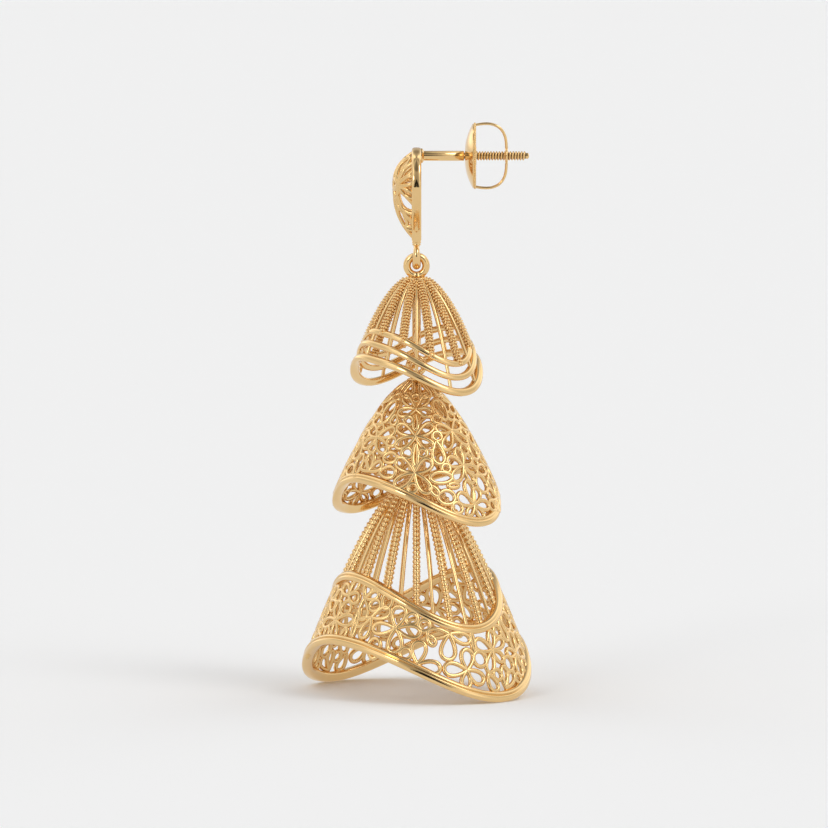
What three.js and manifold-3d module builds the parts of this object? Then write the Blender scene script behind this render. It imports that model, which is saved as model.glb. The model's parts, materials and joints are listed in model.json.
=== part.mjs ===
// A jhumka earring in polished yellow gold: a pierced drop-shaped ear stud with a threaded
// post and a screw back, and three flaring bells that hang under it, each inside the one above.
// Millimetres, +Z up. The stud faces -Y and its post runs along +Y. The origin is on the post's
// axis at the back face of the stud, where the ear lobe starts.

import * as THREE from "three";
import { mergeVertices } from "three/addons/utils/BufferGeometryUtils.js";
import Module from "manifold-3d";

const wasm = await Module();
wasm.setup();

const DEG = Math.PI / 180;
const GOLD = 0xd9a441;

// ---- Driving dimensions -------------------------------------------------------------------

const STUD = {
  depth: 0.96, // front to back
  bevel: 0.12,
  shoulderZ: -2.85, // the round top ends and the straight taper starts
  halfWidth: 3.7,
  tailZ: -8.6,
  tailHalfWidth: 0.62,
  band: 1.2, // width of the frame round the pierced dome
};
// The dome swells from the frame: seat is how far its edge lies over the frame's inner edge.
const DOME = { rise: 2.0, wall: 0.4, centreZ: -2.9, power: 2.6, seat: 0.6, rows: 3 };
const POST = {
  rootY: -0.3, // inside the frame
  padRadius: 0.75, // the solder round the post's foot
  padY: 0.26,
  shankRadius: 0.5,
  threadY: 4.26, // the plain shank ends and the thread starts
  threadRadius: 0.435,
  tipY: 10.76,
};
const BACK = {
  frontY: 4.34, // crown of the dome that faces the ear
  rimY: 5.12,
  radius: 3.32,
  wall: 0.34,
  bushRadius: 0.95,
  boreRadius: 0.5,
  bushEndY: 5.5,
};
// The wire loops behind the screw back run from its rim to a small collar round the post.
const LOOP = { wire: 0.15, collarRadius: 0.72, collarY: 8.5 };
const LOOP_PATH = [
  { y: 5.3, z: 3.1 },
  { y: 6.6, z: 3.25 },
  { y: 7.6, z: 3.05 },
  { y: 8.22, z: 2.35 },
  { y: 8.45, z: 1.4 },
  { y: LOOP.collarY, z: LOOP.collarRadius },
];

// A link: the upper piece ends in an eye seen edge on, and the lower piece's ring hangs in it.
// pivotZ is the middle of the eye's bottom wire, which is the axis that the lower piece swings on.
const STUD_LINK = { pivotZ: -10.85, eyeRadius: 0.87, eyeWire: 0.29, ringRadius: 0.95, ringWire: 0.38 };
const MIDDLE_LINK = { pivotZ: -20.85, eyeRadius: 0.74, eyeWire: 0.24, ringRadius: 0.8, ringWire: 0.28 };
const BOTTOM_LINK = { pivotZ: -30.9, eyeRadius: 0.66, eyeWire: 0.2, ringRadius: 0.7, ringWire: 0.24 };
const LINK_GAP = 0.12; // between the eye's wire and the top of the ring's hole

// A bell's outer radius is spread * depth ** power at a depth below crownZ.
const TOP_BELL = { crownZ: -11.9, spread: 2.05, power: 0.52, capDepth: 0.4 };
const MIDDLE_BELL = { crownZ: -22.2, spread: 1.985, power: 0.59, wall: 0.42 };
const BOTTOM_BELL = { crownZ: -32.0, spread: 1.863, power: 0.6, capDepth: 0.6 };
// The pierced skirt lies outside the bottom bell's wires, so it has its own spread.
const SKIRT = { ...BOTTOM_BELL, spread: 1.965, wall: 0.42 };

// The rims rise and fall twice in a turn. A row has the middle height, how far the rim rises and
// falls, the turn where it is highest, from +X towards +Y, its thickness out from the axis, its
// height, and how far it stands out from the walls and wires.
const TOP_RIMS = [
  { z: -18.67, rise: 1.51, highTurn: -50 * DEG, thick: 0.72, tall: 0.72, proud: 0.05 },
  { z: -19.9, rise: 1.58, highTurn: -53 * DEG, thick: 0.72, tall: 0.72, proud: 0.08 },
  { z: -21.34, rise: 1.6, highTurn: -52 * DEG, thick: 0.95, tall: 0.9, proud: 0.16 },
];
const MIDDLE_RIM = { z: -33.73, rise: 2.08, highTurn: -46.5 * DEG, thick: 0.95, tall: 1.05, proud: 0.05 };
const SKIRT_RIMS = [
  { z: -44.0, rise: 2.43, highTurn: -55 * DEG, thick: 0.95, tall: 1.0, proud: 0.05 },
  { z: -50.36, rise: 2.72, highTurn: -47 * DEG, thick: 1.05, tall: 1.15, proud: 0.16 },
];
// A crest is flatter than a trough, and leans to one side.
const CREST_FLAT = 0.27;
const CREST_LEAN = 7 * DEG;

const RIB_DEPTH = 1.4; // of a wire's radius, so that its foot stays inside the rim
const BEADED_RADIUS = 0.4;
const PLAIN_RADIUS = 0.2;
const TOP_WIRES = 12; // of each kind
const BOTTOM_WIRES = 16; // of each kind
const TOP_ROD_RADIUS = 0.435;
const MIDDLE_ROD_RADIUS = 0.2;
const NECK_RADIUS = 0.23;
const COLLAR_RADIUS = 0.55; // round the foot of the top bell's ring

const RIM_STEPS = 24; // facets round a rim
const ARC_STEPS = 7; // facets of the stud's round top

// The pierced walls are grids of cells with one gap each, a petal of a four-petalled flower.
// topZ is where the grid starts at the middle height of its upper edge.
const MIDDLE_NET = { columns: 16, rows: 5, topZ: -23.4 };
const SKIRT_NET = { columns: 20, rows: 2 };
// How far a gap reaches from its cell's middle to the flower, to one side, to the tip and to the
// other side, as shares of the way to the cell's corners.
const PETAL_REACH = [0.78, 0.5, 0.72, 0.5];

// ---- Solids -------------------------------------------------------------------------------

function toSolid(geometry) {
  const bare = geometry.index ? geometry.toNonIndexed() : geometry.clone();
  bare.deleteAttribute("normal");
  bare.deleteAttribute("uv");
  const merged = mergeVertices(bare, 1e-3);
  const corners = merged.index.array;
  const triVerts = [];
  for (let i = 0; i < corners.length; i += 3) {
    const [a, b, c] = [corners[i], corners[i + 1], corners[i + 2]];
    if (a !== b && b !== c && c !== a) triVerts.push(a, b, c);
  }
  return new wasm.Manifold(new wasm.Mesh({
    numProp: 3,
    vertProperties: new Float32Array(merged.attributes.position.array),
    triVerts: new Uint32Array(triVerts),
  }));
}

function joined(solids) {
  return solids.reduce((whole, solid) => whole.add(solid));
}

function toMesh(name, solid) {
  const { numProp, vertProperties, triVerts } = solid.getMesh();
  const positions = [];
  for (let i = 0; i < vertProperties.length; i += numProp) {
    for (let axis = 0; axis < 3; axis += 1) {
      positions.push(Math.round(vertProperties[i + axis] * 1e4) / 1e4);
    }
  }
  const geometry = new THREE.BufferGeometry();
  geometry.setAttribute("position", new THREE.Float32BufferAttribute(positions, 3));
  geometry.setIndex(Array.from(triVerts));
  const material = new THREE.MeshStandardMaterial({ color: GOLD, metalness: 1, roughness: 0.22 });
  const mesh = new THREE.Mesh(mergeVertices(geometry, 1e-3), material);
  mesh.geometry.computeVertexNormals();
  mesh.name = name;
  return mesh;
}

function polygon(radius, sides) {
  const shape = new THREE.Shape();
  shape.absarc(0, 0, radius, 0, 2 * Math.PI, false);
  return new THREE.Shape(shape.getSpacedPoints(sides).slice(0, sides));
}

// A straight or curved wire through points.
function wire(points, radius, sides, steps) {
  const path = new THREE.CatmullRomCurve3(points.map(([x, y, z]) => new THREE.Vector3(x, y, z)));
  const geometry = new THREE.ExtrudeGeometry(polygon(radius, sides), { extrudePath: path, steps });
  return toSolid(geometry);
}

function turned(profile, steps) {
  const points = profile.map(([radius, height]) => new THREE.Vector2(radius, height));
  return new THREE.LatheGeometry(points, steps, Math.PI / steps);
}

// Each point of a lathe's geometry moved by change(radius, z, turn), which gives a new radius and z.
function reshaped(geometry, change) {
  const at = geometry.attributes.position;
  for (let i = 0; i < at.count; i += 1) {
    const [x, y, z] = [at.getX(i), at.getY(i), at.getZ(i)];
    const turn = Math.atan2(y, x);
    const [radius, height] = change(Math.hypot(x, y), z, turn);
    at.setXYZ(i, radius * Math.cos(turn), radius * Math.sin(turn), height);
  }
  return geometry;
}

// ---- The bells' shared form ----------------------------------------------------------------

function flare(bell, z) {
  return bell.spread * Math.max(bell.crownZ - z, 0) ** bell.power;
}

function rimZ(rim, turn) {
  const past = turn - rim.highTurn;
  return rim.z + rim.rise * Math.cos(2 * past) - CREST_FLAT * Math.cos(4 * (past - CREST_LEAN));
}

// A band that follows the rise and fall of a bell's rim, its outer face along the flare.
function rimBand(bell, rim) {
  const [halfThick, halfTall] = [rim.thick / 2, rim.tall / 2];
  const middle = flare(bell, rim.z) - halfThick + rim.proud;
  const corners = [[1, -1], [1, 1], [-1, 1], [-1, -1]];
  const profile = corners.map(([out, up]) => [middle + out * halfThick, rim.z + up * halfTall]);
  profile.push(profile[0]);
  const band = turned(profile, RIM_STEPS).rotateX(Math.PI / 2);
  return toSolid(reshaped(band, (radius, z, turn) => {
    const lift = rimZ(rim, turn) - rim.z;
    return [radius + flare(bell, rim.z + lift) - flare(bell, rim.z), z + lift];
  }));
}

// A point on a bell's outer face, or below it along the face's normal by depth.
function wallPoint(bell, turn, z, depth) {
  const slope = bell.power * flare(bell, z) / (bell.crownZ - z);
  const scale = depth / Math.hypot(1, slope);
  const radius = flare(bell, z) - scale;
  return [radius * Math.cos(turn), radius * Math.sin(turn), z - slope * scale];
}

// A wall of cells; zAt(share, turn) is the height a share of the way down it. A closed wall runs up
// to the crown of the bell.
function piercedWall(bell, net, zAt, closed) {
  const positions = [];
  const at = (column, row, depth) => {
    const turn = (((column % net.columns) + net.columns) % net.columns) * 2 * Math.PI / net.columns;
    return wallPoint(bell, turn, zAt(row / net.rows, turn), depth);
  };
  const face = (a, b, c, inward) => positions.push(...(inward ? [...a, ...c, ...b] : [...a, ...b, ...c]));
  const mix = (p, q, share) => p.map((value, axis) => value + (q[axis] - value) * share);
  for (let column = 0; column < net.columns; column += 1) {
    for (let row = 0; row < net.rows; row += 1) {
      // Corners in turn, starting from the one that is the middle of a flower.
      const [near, far] = column % 2 ? [column + 1, column] : [column, column + 1];
      const [high, low] = row % 2 ? [row + 1, row] : [row, row + 1];
      const mirrored = (column % 2) !== (row % 2);
      const places = [[near, high], [near, low], [far, low], [far, high]];
      const rims = [0, bell.wall].map((depth) => {
        const corners = places.map(([i, j]) => at(i, j, depth));
        const middle = mix(mix(corners[0], corners[2], 0.5), mix(corners[1], corners[3], 0.5), 0.5);
        return { corners, gap: corners.map((corner, k) => mix(middle, corner, PETAL_REACH[k])) };
      });
      for (let k = 0; k < 4; k += 1) {
        const next = (k + 1) % 4;
        rims.forEach(({ corners, gap }, side) => {
          const inward = (side === 1) !== mirrored;
          face(corners[k], corners[next], gap[next], inward);
          face(corners[k], gap[next], gap[k], inward);
        });
        const [outer, inner] = rims.map(({ gap }) => gap);
        face(outer[k], outer[next], inner[next], mirrored);
        face(outer[k], inner[next], inner[k], mirrored);
      }
    }
    const next = column + 1;
    const foot = net.rows;
    face(at(column, foot, 0), at(column, foot, bell.wall), at(next, foot, bell.wall), false);
    face(at(column, foot, 0), at(next, foot, bell.wall), at(next, foot, 0), false);
    if (closed) {
      face([0, 0, bell.crownZ], at(column, 0, 0), at(next, 0, 0), false);
      face([0, 0, bell.crownZ - bell.wall], at(column, 0, bell.wall), at(next, 0, bell.wall), true);
    } else {
      face(at(column, 0, 0), at(next, 0, 0), at(next, 0, bell.wall), false);
      face(at(column, 0, 0), at(next, 0, bell.wall), at(column, 0, bell.wall), false);
    }
  }
  const geometry = new THREE.BufferGeometry();
  geometry.setAttribute("position", new THREE.Float32BufferAttribute(positions, 3));
  return toSolid(geometry);
}

// A cage of square ribs that run down a bell from a small closed crown. Each rib has its turn, the
// radius of its wire and the height of its foot, and near the crown it narrows to fit its neighbours.
function cage(bell, ribs) {
  const steps = 3;
  const crown = [0, 0, bell.crownZ];
  const hollow = [0, 0, bell.crownZ - 1];
  const positions = [];
  const face = (a, b, c) => positions.push(...a, ...b, ...c);
  const quad = (a, b, c, d) => {
    face(a, b, c);
    face(a, c, d);
  };
  // The four corners of a rib's section: outer left, outer right, inner right, inner left.
  const section = ({ turn, radius, footZ }, step) => {
    const topZ = bell.crownZ - bell.capDepth;
    const z = topZ + (footZ - topZ) * (step / steps) ** 1.4;
    const room = 0.8 * Math.PI * flare(bell, z) / ribs.length;
    const halfTurn = Math.min(radius, room) / flare(bell, z);
    const corners = [[-1, 0], [1, 0], [1, RIB_DEPTH * radius], [-1, RIB_DEPTH * radius]];
    return corners.map(([side, depth]) => wallPoint(bell, turn + side * halfTurn, z, depth));
  };
  ribs.forEach((rib, index) => {
    const next = section(ribs[(index + 1) % ribs.length], 0);
    const top = section(rib, 0);
    face(crown, top[0], top[1]);
    face(crown, top[1], next[0]);
    face(hollow, top[2], top[3]);
    face(hollow, next[3], top[2]);
    quad(top[1], top[2], next[3], next[0]);
    for (let step = 0; step < steps; step += 1) {
      const [above, below] = [section(rib, step), section(rib, step + 1)];
      for (let k = 0; k < 4; k += 1) quad(above[k], below[k], below[(k + 1) % 4], above[(k + 1) % 4]);
    }
    quad(...section(rib, steps).reverse());
  });
  const geometry = new THREE.BufferGeometry();
  geometry.setAttribute("position", new THREE.Float32BufferAttribute(positions, 3));
  return toSolid(geometry);
}

// ---- Links ----------------------------------------------------------------------------------

// The eye at the foot of the upper piece lies in the XZ plane, so its bottom wire runs along X.
function linkEye(link) {
  const geometry = new THREE.TorusGeometry(link.eyeRadius, link.eyeWire, 6, 12).rotateX(Math.PI / 2);
  return toSolid(geometry.translate(0, 0, link.pivotZ + link.eyeRadius));
}

function ringZ(link) {
  return link.pivotZ - (link.ringRadius - link.ringWire - link.eyeWire - LINK_GAP);
}

// The ring at the head of the lower piece lies in the YZ plane.
function linkRing(link) {
  const geometry = new THREE.TorusGeometry(link.ringRadius, link.ringWire, 6, 12).rotateY(Math.PI / 2);
  return toSolid(geometry.translate(0, 0, ringZ(link)));
}

function rod(radius, fromZ, toZ) {
  return wire([[0, 0, fromZ], [0, 0, toZ]], radius, 10, 1);
}

function eyeTop(link) {
  return link.pivotZ + 2 * link.eyeRadius;
}

// ---- Pieces -----------------------------------------------------------------------------------

function studOutline(inset) {
  const shape = new THREE.Shape();
  const radius = STUD.halfWidth - inset;
  const tailHalf = STUD.tailHalfWidth - inset * 0.45;
  shape.moveTo(tailHalf, STUD.tailZ + inset);
  shape.lineTo(radius, STUD.shoulderZ);
  shape.absarc(0, STUD.shoulderZ, radius, 0, Math.PI, false);
  shape.lineTo(-tailHalf, STUD.tailZ + inset);
  shape.closePath();
  return shape;
}

// Turns a shape drawn with x across and y up so that it faces -Y, with its back at Y = 0.
function facingFront(geometry) {
  return geometry.rotateX(Math.PI / 2);
}

function studFrame() {
  const shape = studOutline(0);
  shape.holes.push(new THREE.Path(studOutline(STUD.band).getPoints(ARC_STEPS)));
  const geometry = new THREE.ExtrudeGeometry(shape, {
    depth: STUD.depth - 2 * STUD.bevel,
    bevelThickness: STUD.bevel,
    bevelSize: STUD.bevel,
    bevelOffset: -STUD.bevel,
    bevelSegments: 1,
    curveSegments: ARC_STEPS,
  });
  return toSolid(facingFront(geometry.translate(0, 0, STUD.bevel)));
}

// The dome's edge is the frame's inner outline, and its rise falls off towards that edge.
function domeSolid(inset, rise) {
  const edge = studOutline(inset).getPoints(ARC_STEPS);
  const { rows } = DOME;
  const positions = [];
  const point = (row, index) => {
    const share = row / rows;
    const corner = edge[index % (edge.length - 1)];
    const x = corner.x * share;
    const z = DOME.centreZ + (corner.y - DOME.centreZ) * share;
    return [x, -STUD.depth / 2 - (STUD.depth / 2 + rise) * (1 - share ** DOME.power), z];
  };
  const flat = ([x, , z]) => [x, -STUD.depth / 2, z];
  for (let index = 0; index < edge.length - 1; index += 1) {
    for (let row = 0; row < rows; row += 1) {
      const [a, b] = [point(row, index), point(row, index + 1)];
      const [c, d] = [point(row + 1, index + 1), point(row + 1, index)];
      positions.push(...a, ...c, ...b, ...a, ...d, ...c);
    }
    const [first, second] = [flat(point(rows, index)), flat(point(rows, index + 1))];
    positions.push(...flat(point(0, index)), ...second, ...first);
  }
  const geometry = new THREE.BufferGeometry();
  geometry.setAttribute("position", new THREE.Float32BufferAttribute(positions, 3));
  return toSolid(geometry);
}

// Gaps through the stud's dome: place of the middle, spin from upright, half length and width.
const STUD_GAPS = [
  { x: 0, z: -1.2, spin: 0, long: 0.75, wide: 0.5 },
  { x: 0, z: -4.4, spin: 0, long: 0.75, wide: 0.5 },
  { x: 1.25, z: -2.1, spin: 60, long: 0.75, wide: 0.45 },
  { x: 1.2, z: -3.6, spin: 120, long: 0.75, wide: 0.45 },
  { x: 0.75, z: -5.4, spin: 30, long: 0.5, wide: 0.3 },
  { x: 0, z: -6.2, spin: 0, long: 0.55, wide: 0.3 },
];

function studGapCutter({ x, z, spin, long, wide }) {
  const shape = new THREE.Shape();
  shape.absellipse(x, z, wide, long, 0, 2 * Math.PI, false, -spin * DEG);
  const flatShape = new THREE.Shape(shape.getSpacedPoints(6).slice(0, 6));
  const geometry = new THREE.ExtrudeGeometry(flatShape, { depth: 4, bevelEnabled: false });
  return toSolid(facingFront(geometry));
}

function studDome() {
  const hollow = domeSolid(STUD.band + DOME.wall * 0.4, DOME.rise - DOME.wall);
  const shell = domeSolid(STUD.band - DOME.seat, DOME.rise).subtract(hollow);
  const gaps = STUD_GAPS.flatMap((gap) => (gap.x ? [gap, { ...gap, x: -gap.x, spin: -gap.spin }] : [gap]));
  return shell.subtract(joined(gaps.map(studGapCutter)));
}

function postSolid() {
  const nose = POST.threadRadius * 0.5;
  const profile = [
    [0, POST.rootY], [POST.padRadius, POST.rootY],
    [POST.padRadius, POST.padY * 0.6], [POST.shankRadius, POST.padY],
    [POST.shankRadius, POST.threadY], [POST.threadRadius, POST.threadY],
    [POST.threadRadius, POST.tipY - nose], [nose, POST.tipY], [0, POST.tipY],
  ];
  return toSolid(turned(profile, 12));
}

function stud() {
  const dropY = -STUD.depth / 2;
  const hanger = linkEye(STUD_LINK).add(rod(STUD_LINK.eyeWire + 0.04, STUD.tailZ + 0.6, eyeTop(STUD_LINK)));
  return joined([studFrame(), studDome(), postSolid(), hanger.translate([0, dropY, 0])]);
}

function screwBack() {
  const outer = [];
  const inner = [];
  const rows = 4;
  for (let row = 0; row <= rows; row += 1) {
    const share = row / rows;
    const y = BACK.frontY + (BACK.rimY - BACK.frontY) * share ** 2;
    const radius = BACK.bushRadius * 0.8 + (BACK.radius - BACK.bushRadius * 0.8) * share;
    outer.push([radius, y]);
    inner.unshift([row === rows ? radius - BACK.wall : radius, y + BACK.wall]);
  }
  const bush = [
    [BACK.boreRadius, BACK.frontY], [BACK.bushRadius, BACK.frontY], [BACK.bushRadius, BACK.bushEndY],
    [BACK.boreRadius, BACK.bushEndY], [BACK.boreRadius, BACK.frontY],
  ];
  const plate = toSolid(turned([...outer, ...inner, outer[0]], RIM_STEPS));
  const collar = new THREE.TorusGeometry(LOOP.collarRadius, LOOP.wire, 6, 14).rotateX(Math.PI / 2);
  const loops = [1, -1].map((side) => wire(LOOP_PATH.map(({ y, z }) => [0, y, side * z]), LOOP.wire, 5, 8));
  return joined([plate, toSolid(turned(bush, 12)), toSolid(collar.translate(0, LOOP.collarY, 0)), ...loops]);
}

function topBell() {
  const pieces = [linkRing(STUD_LINK), linkEye(MIDDLE_LINK)];
  const holeFoot = ringZ(STUD_LINK) - STUD_LINK.ringRadius + STUD_LINK.ringWire;
  pieces.push(rod(COLLAR_RADIUS, holeFoot - 0.04, TOP_BELL.crownZ - 0.6));
  pieces.push(rod(TOP_ROD_RADIUS, TOP_BELL.crownZ, eyeTop(MIDDLE_LINK)));
  const [first, , last] = TOP_RIMS;
  const ribs = [];
  for (let index = 0; index < 2 * TOP_WIRES; index += 1) {
    const turn = index * Math.PI / TOP_WIRES;
    const plain = index % 2 === 0;
    const footZ = rimZ(plain ? last : first, turn);
    ribs.push({ turn, radius: plain ? PLAIN_RADIUS : BEADED_RADIUS, footZ });
  }
  return joined([...pieces, cage(TOP_BELL, ribs), ...TOP_RIMS.map((rim) => rimBand(TOP_BELL, rim))]);
}

function middleBell() {
  const neckTop = ringZ(MIDDLE_LINK) - MIDDLE_LINK.ringRadius + 0.1;
  const zAt = (share, turn) => {
    const foot = rimZ(MIDDLE_RIM, turn);
    return MIDDLE_NET.topZ + (foot - MIDDLE_NET.topZ) * share;
  };
  return joined([
    piercedWall(MIDDLE_BELL, MIDDLE_NET, zAt, true),
    rimBand(MIDDLE_BELL, MIDDLE_RIM),
    linkRing(MIDDLE_LINK),
    rod(NECK_RADIUS, neckTop, MIDDLE_BELL.crownZ - 0.3),
    rod(MIDDLE_ROD_RADIUS, MIDDLE_BELL.crownZ - 0.2, eyeTop(BOTTOM_LINK)),
    linkEye(BOTTOM_LINK),
  ]);
}

function bottomBell() {
  const neckTop = ringZ(BOTTOM_LINK) - BOTTOM_LINK.ringRadius + 0.1;
  const [upper, lower] = SKIRT_RIMS;
  const ribs = [];
  for (let index = 0; index < 2 * BOTTOM_WIRES; index += 1) {
    const turn = index * Math.PI / BOTTOM_WIRES;
    const radius = index % 2 ? PLAIN_RADIUS : BEADED_RADIUS;
    ribs.push({ turn, radius, footZ: rimZ(upper, turn) });
  }
  const zAt = (share, turn) => rimZ(upper, turn) * (1 - share) + rimZ(lower, turn) * share;
  return joined([
    linkRing(BOTTOM_LINK),
    rod(NECK_RADIUS, neckTop, BOTTOM_BELL.crownZ - 0.5),
    cage(BOTTOM_BELL, ribs),
    piercedWall(SKIRT, SKIRT_NET, zAt, false),
    ...SKIRT_RIMS.map((rim) => rimBand(SKIRT, rim)),
  ]);
}

// ---- The earring ------------------------------------------------------------------------------

const earring = new THREE.Group();
earring.add(toMesh("stud", stud()));
earring.add(toMesh("screw_back", screwBack()));

// The three bells hang under the middle of the stud's frame.
const drop = new THREE.Group();
drop.position.y = -STUD.depth / 2;
drop.add(toMesh("top_bell", topBell()));
drop.add(toMesh("middle_bell", middleBell()));
drop.add(toMesh("bottom_bell", bottomBell()));
earring.add(drop);

export default earring;
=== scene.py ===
# %% [markdown]
# A jhumka earring in polished yellow gold: an ear stud with a threaded post and a screw back, and
# three flaring bells that hang under it. The lesson shows how wires, beads and pierced walls can
# all follow one rule, the flare of a bell.
#
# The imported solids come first, as a fixed frame. They carry the sizes and the joints, and every
# piece below is made in the same place.

# %% Load the frame
import json
import math

import bpy
from mathutils import Matrix, Vector
from mathutils.kdtree import KDTree


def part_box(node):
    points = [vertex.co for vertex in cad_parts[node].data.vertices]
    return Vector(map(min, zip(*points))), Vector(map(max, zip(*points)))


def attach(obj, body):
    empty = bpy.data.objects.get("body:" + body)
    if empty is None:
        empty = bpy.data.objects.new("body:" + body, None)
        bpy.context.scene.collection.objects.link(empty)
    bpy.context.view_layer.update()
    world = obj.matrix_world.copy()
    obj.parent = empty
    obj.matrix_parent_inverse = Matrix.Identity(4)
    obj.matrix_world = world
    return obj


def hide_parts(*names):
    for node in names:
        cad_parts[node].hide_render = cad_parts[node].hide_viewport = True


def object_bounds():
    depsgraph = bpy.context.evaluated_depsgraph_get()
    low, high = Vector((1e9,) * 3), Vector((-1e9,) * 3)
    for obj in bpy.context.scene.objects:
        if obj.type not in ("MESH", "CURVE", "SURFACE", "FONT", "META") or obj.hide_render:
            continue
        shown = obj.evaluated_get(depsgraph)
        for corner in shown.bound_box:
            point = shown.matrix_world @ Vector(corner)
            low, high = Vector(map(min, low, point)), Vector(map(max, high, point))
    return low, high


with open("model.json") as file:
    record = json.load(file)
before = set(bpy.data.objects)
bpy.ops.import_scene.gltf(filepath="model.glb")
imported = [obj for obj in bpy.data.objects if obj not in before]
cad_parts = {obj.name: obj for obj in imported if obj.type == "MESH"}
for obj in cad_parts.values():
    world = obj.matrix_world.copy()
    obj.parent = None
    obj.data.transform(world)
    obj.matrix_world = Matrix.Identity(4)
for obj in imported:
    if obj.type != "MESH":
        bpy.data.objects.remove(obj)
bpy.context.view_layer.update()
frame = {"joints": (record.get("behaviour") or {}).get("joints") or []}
MM = 0.001
joints = {joint["name"]: joint for joint in frame["joints"]}

# %% [markdown]
# A bell is a surface of revolution. Its outer radius grows with the depth below its crown, as
# spread * depth ** power. Its rims rise and fall twice in a turn, like the rim of a saddle. Both
# rules are written once, in millimetres. The rims' rule is the solids' own.

# %% The rule of the bells
TOP_BELL = {"crown": -11.9, "spread": 2.05, "power": 0.52}
MIDDLE_BELL = {"crown": -22.1, "spread": 1.974, "power": 0.59}
BOTTOM_BELL = {"crown": -32.0, "spread": 1.863, "power": 0.60}
SKIRT = {**BOTTOM_BELL, "spread": 1.965}

# Each rim: middle height, how far it rises and falls, the turn of its high side, thickness out from
# the axis, height, how far it sits inside the flare, and the depth of the groove on its face.
RIM_COLUMNS = ("z", "rise", "high_turn", "thick", "tall", "set_in", "groove")
RIMS = {name: dict(zip(RIM_COLUMNS, row)) for name, row in {
    "top_rim_1": (-18.67, 1.51, -50, 0.72, 0.66, 0.0, 0.0),
    "top_rim_2": (-19.90, 1.58, -53, 0.72, 0.66, -0.08, 0.0),
    "top_rim_3": (-21.34, 1.60, -52, 0.92, 0.80, -0.16, 0.0),
    "middle_rim": (-33.73, 2.08, -46.5, 1.00, 1.00, 0.08, 0.12),
    "skirt_upper_rim": (-44.00, 2.43, -55, 0.96, 0.96, -0.05, 0.12),
    "skirt_lower_rim": (-50.36, 2.72, -47, 1.10, 1.08, -0.16, 0.13),
}.items()}
CREST_FLAT = 0.27  # how much a crest is flatter than a trough, in mm
CREST_LEAN = 7  # how far the flat part of a crest leans to one side, in degrees
BELL_AXIS_Y = joints["drop_swing"]["pos_m"][1]


def flare(bell, z):
    return bell["spread"] * max(bell["crown"] - z, 1e-6) ** bell["power"]


def rim_height(rim, turn):
    past = math.radians(turn - rim["high_turn"])
    flat = CREST_FLAT * math.cos(4 * (past - math.radians(CREST_LEAN)))
    return rim["z"] + rim["rise"] * math.cos(2 * past) - flat


print("bell radii mm", [round(flare(bell, RIMS[rim]["z"]), 2) for bell, rim in (
    (TOP_BELL, "top_rim_3"), (MIDDLE_BELL, "middle_rim"), (SKIRT, "skirt_lower_rim"))])

# %% [markdown]
# Materials, the light and Geometry Nodes are all trees of nodes. They are easier to read when
# adding a node takes one line, so a small class wraps a tree. In `add`, a word with a capital is an
# input, with _ for a space, and a word in small letters is a setting. What comes out of a node is a
# `Value`, and a sum with it adds the math node that works the sum out.

# %% Helpers for node trees


class Value:
    """An output of a node. value[label] is another output of the same node."""

    def __init__(self, tree, socket):
        self.tree, self.socket = tree, socket

    def __getitem__(self, label):
        return Value(self.tree, self.socket.node.outputs[label])


def calc(operation, *values):
    """A math node, in the tree that its values come from."""
    tree = next(value.tree for value in values if isinstance(value, Value))
    return tree.add("ShaderNodeMath", *values, operation=operation)


SUMS = {"add": "ADD", "sub": "SUBTRACT", "mul": "MULTIPLY", "truediv": "DIVIDE", "pow": "POWER"}
for sign, operation in SUMS.items():
    setattr(Value, f"__{sign}__", lambda left, right, operation=operation: calc(operation, left, right))
    setattr(Value, f"__r{sign}__", lambda right, left, operation=operation: calc(operation, left, right))


class Tree:
    """The nodes of a material, of the world, or of a group with named inputs and outputs."""

    def __init__(self, data, inputs=(), outputs=()):
        """Each input and output has its default value or, as text, only its kind."""
        self.data = data
        for way, sockets in (("INPUT", inputs), ("OUTPUT", outputs)):
            for label, value in dict(sockets).items():
                kind = value if isinstance(value, str) else {int: "Int", float: "Float"}[type(value)]
                socket = data.interface.new_socket(label, in_out=way, socket_type="NodeSocket" + kind)
                if kind != value:
                    socket.default_value = value
        self.given = Value(self, data.nodes.new("NodeGroupInput").outputs[0]) if inputs else None

    def __getitem__(self, label):
        return self.given[label]

    def fill(self, node, *values, **inputs):
        """Links values to a node's inputs, or sets them: in order, or by the inputs' names."""
        named = [(node.inputs[label.replace("_", " ")], value) for label, value in inputs.items()]
        for socket, value in [*zip(node.inputs, values), *named]:
            if isinstance(value, Value):
                self.data.links.new(value.socket, socket)
            else:
                socket.default_value = value

    def add(self, kind, *values, **named):
        node = self.data.nodes.new(kind)
        for setting in [key for key in named if key[0].islower()]:
            setattr(node, setting, named.pop(setting))
        self.fill(node, *values, **named)
        return Value(self, node.outputs[0])

    def finish(self, *values):
        """Links the outputs of a group, and gives the group."""
        self.fill(self.data.nodes.new("NodeGroupOutput"), *values)
        return self.data

    def close(self, geometry):
        """The last steps of a tree that makes a piece: real geometry, smooth faces and a material."""
        whole = self.add("GeometryNodeRealizeInstances", geometry)
        smooth = self.add("GeometryNodeSetShadeSmooth", whole)
        return self.finish(self.add("GeometryNodeSetMaterial", smooth, Material=self["Material"]))


def group(name, inputs, outputs=(("Geometry", "Geometry"),), kind="GeometryNodeTree"):
    return Tree(bpy.data.node_groups.new(name, kind), inputs, outputs)


print("sums with a value:", sorted(SUMS.values()))

# %% [markdown]
# Polished gold is a metal with a strong colour and an almost mirror finish. What keeps it from
# looking like plastic is the hand work: a polishing buff leaves faint streaks and a slightly
# uneven gloss. Every finish needs that, so it is one shader group, used with its own values in
# each material.

# %% The buffed-metal shader group
STREAKS_PER_METRE = (6000, 6000, 900)  # fine across, and long up and down


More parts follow.
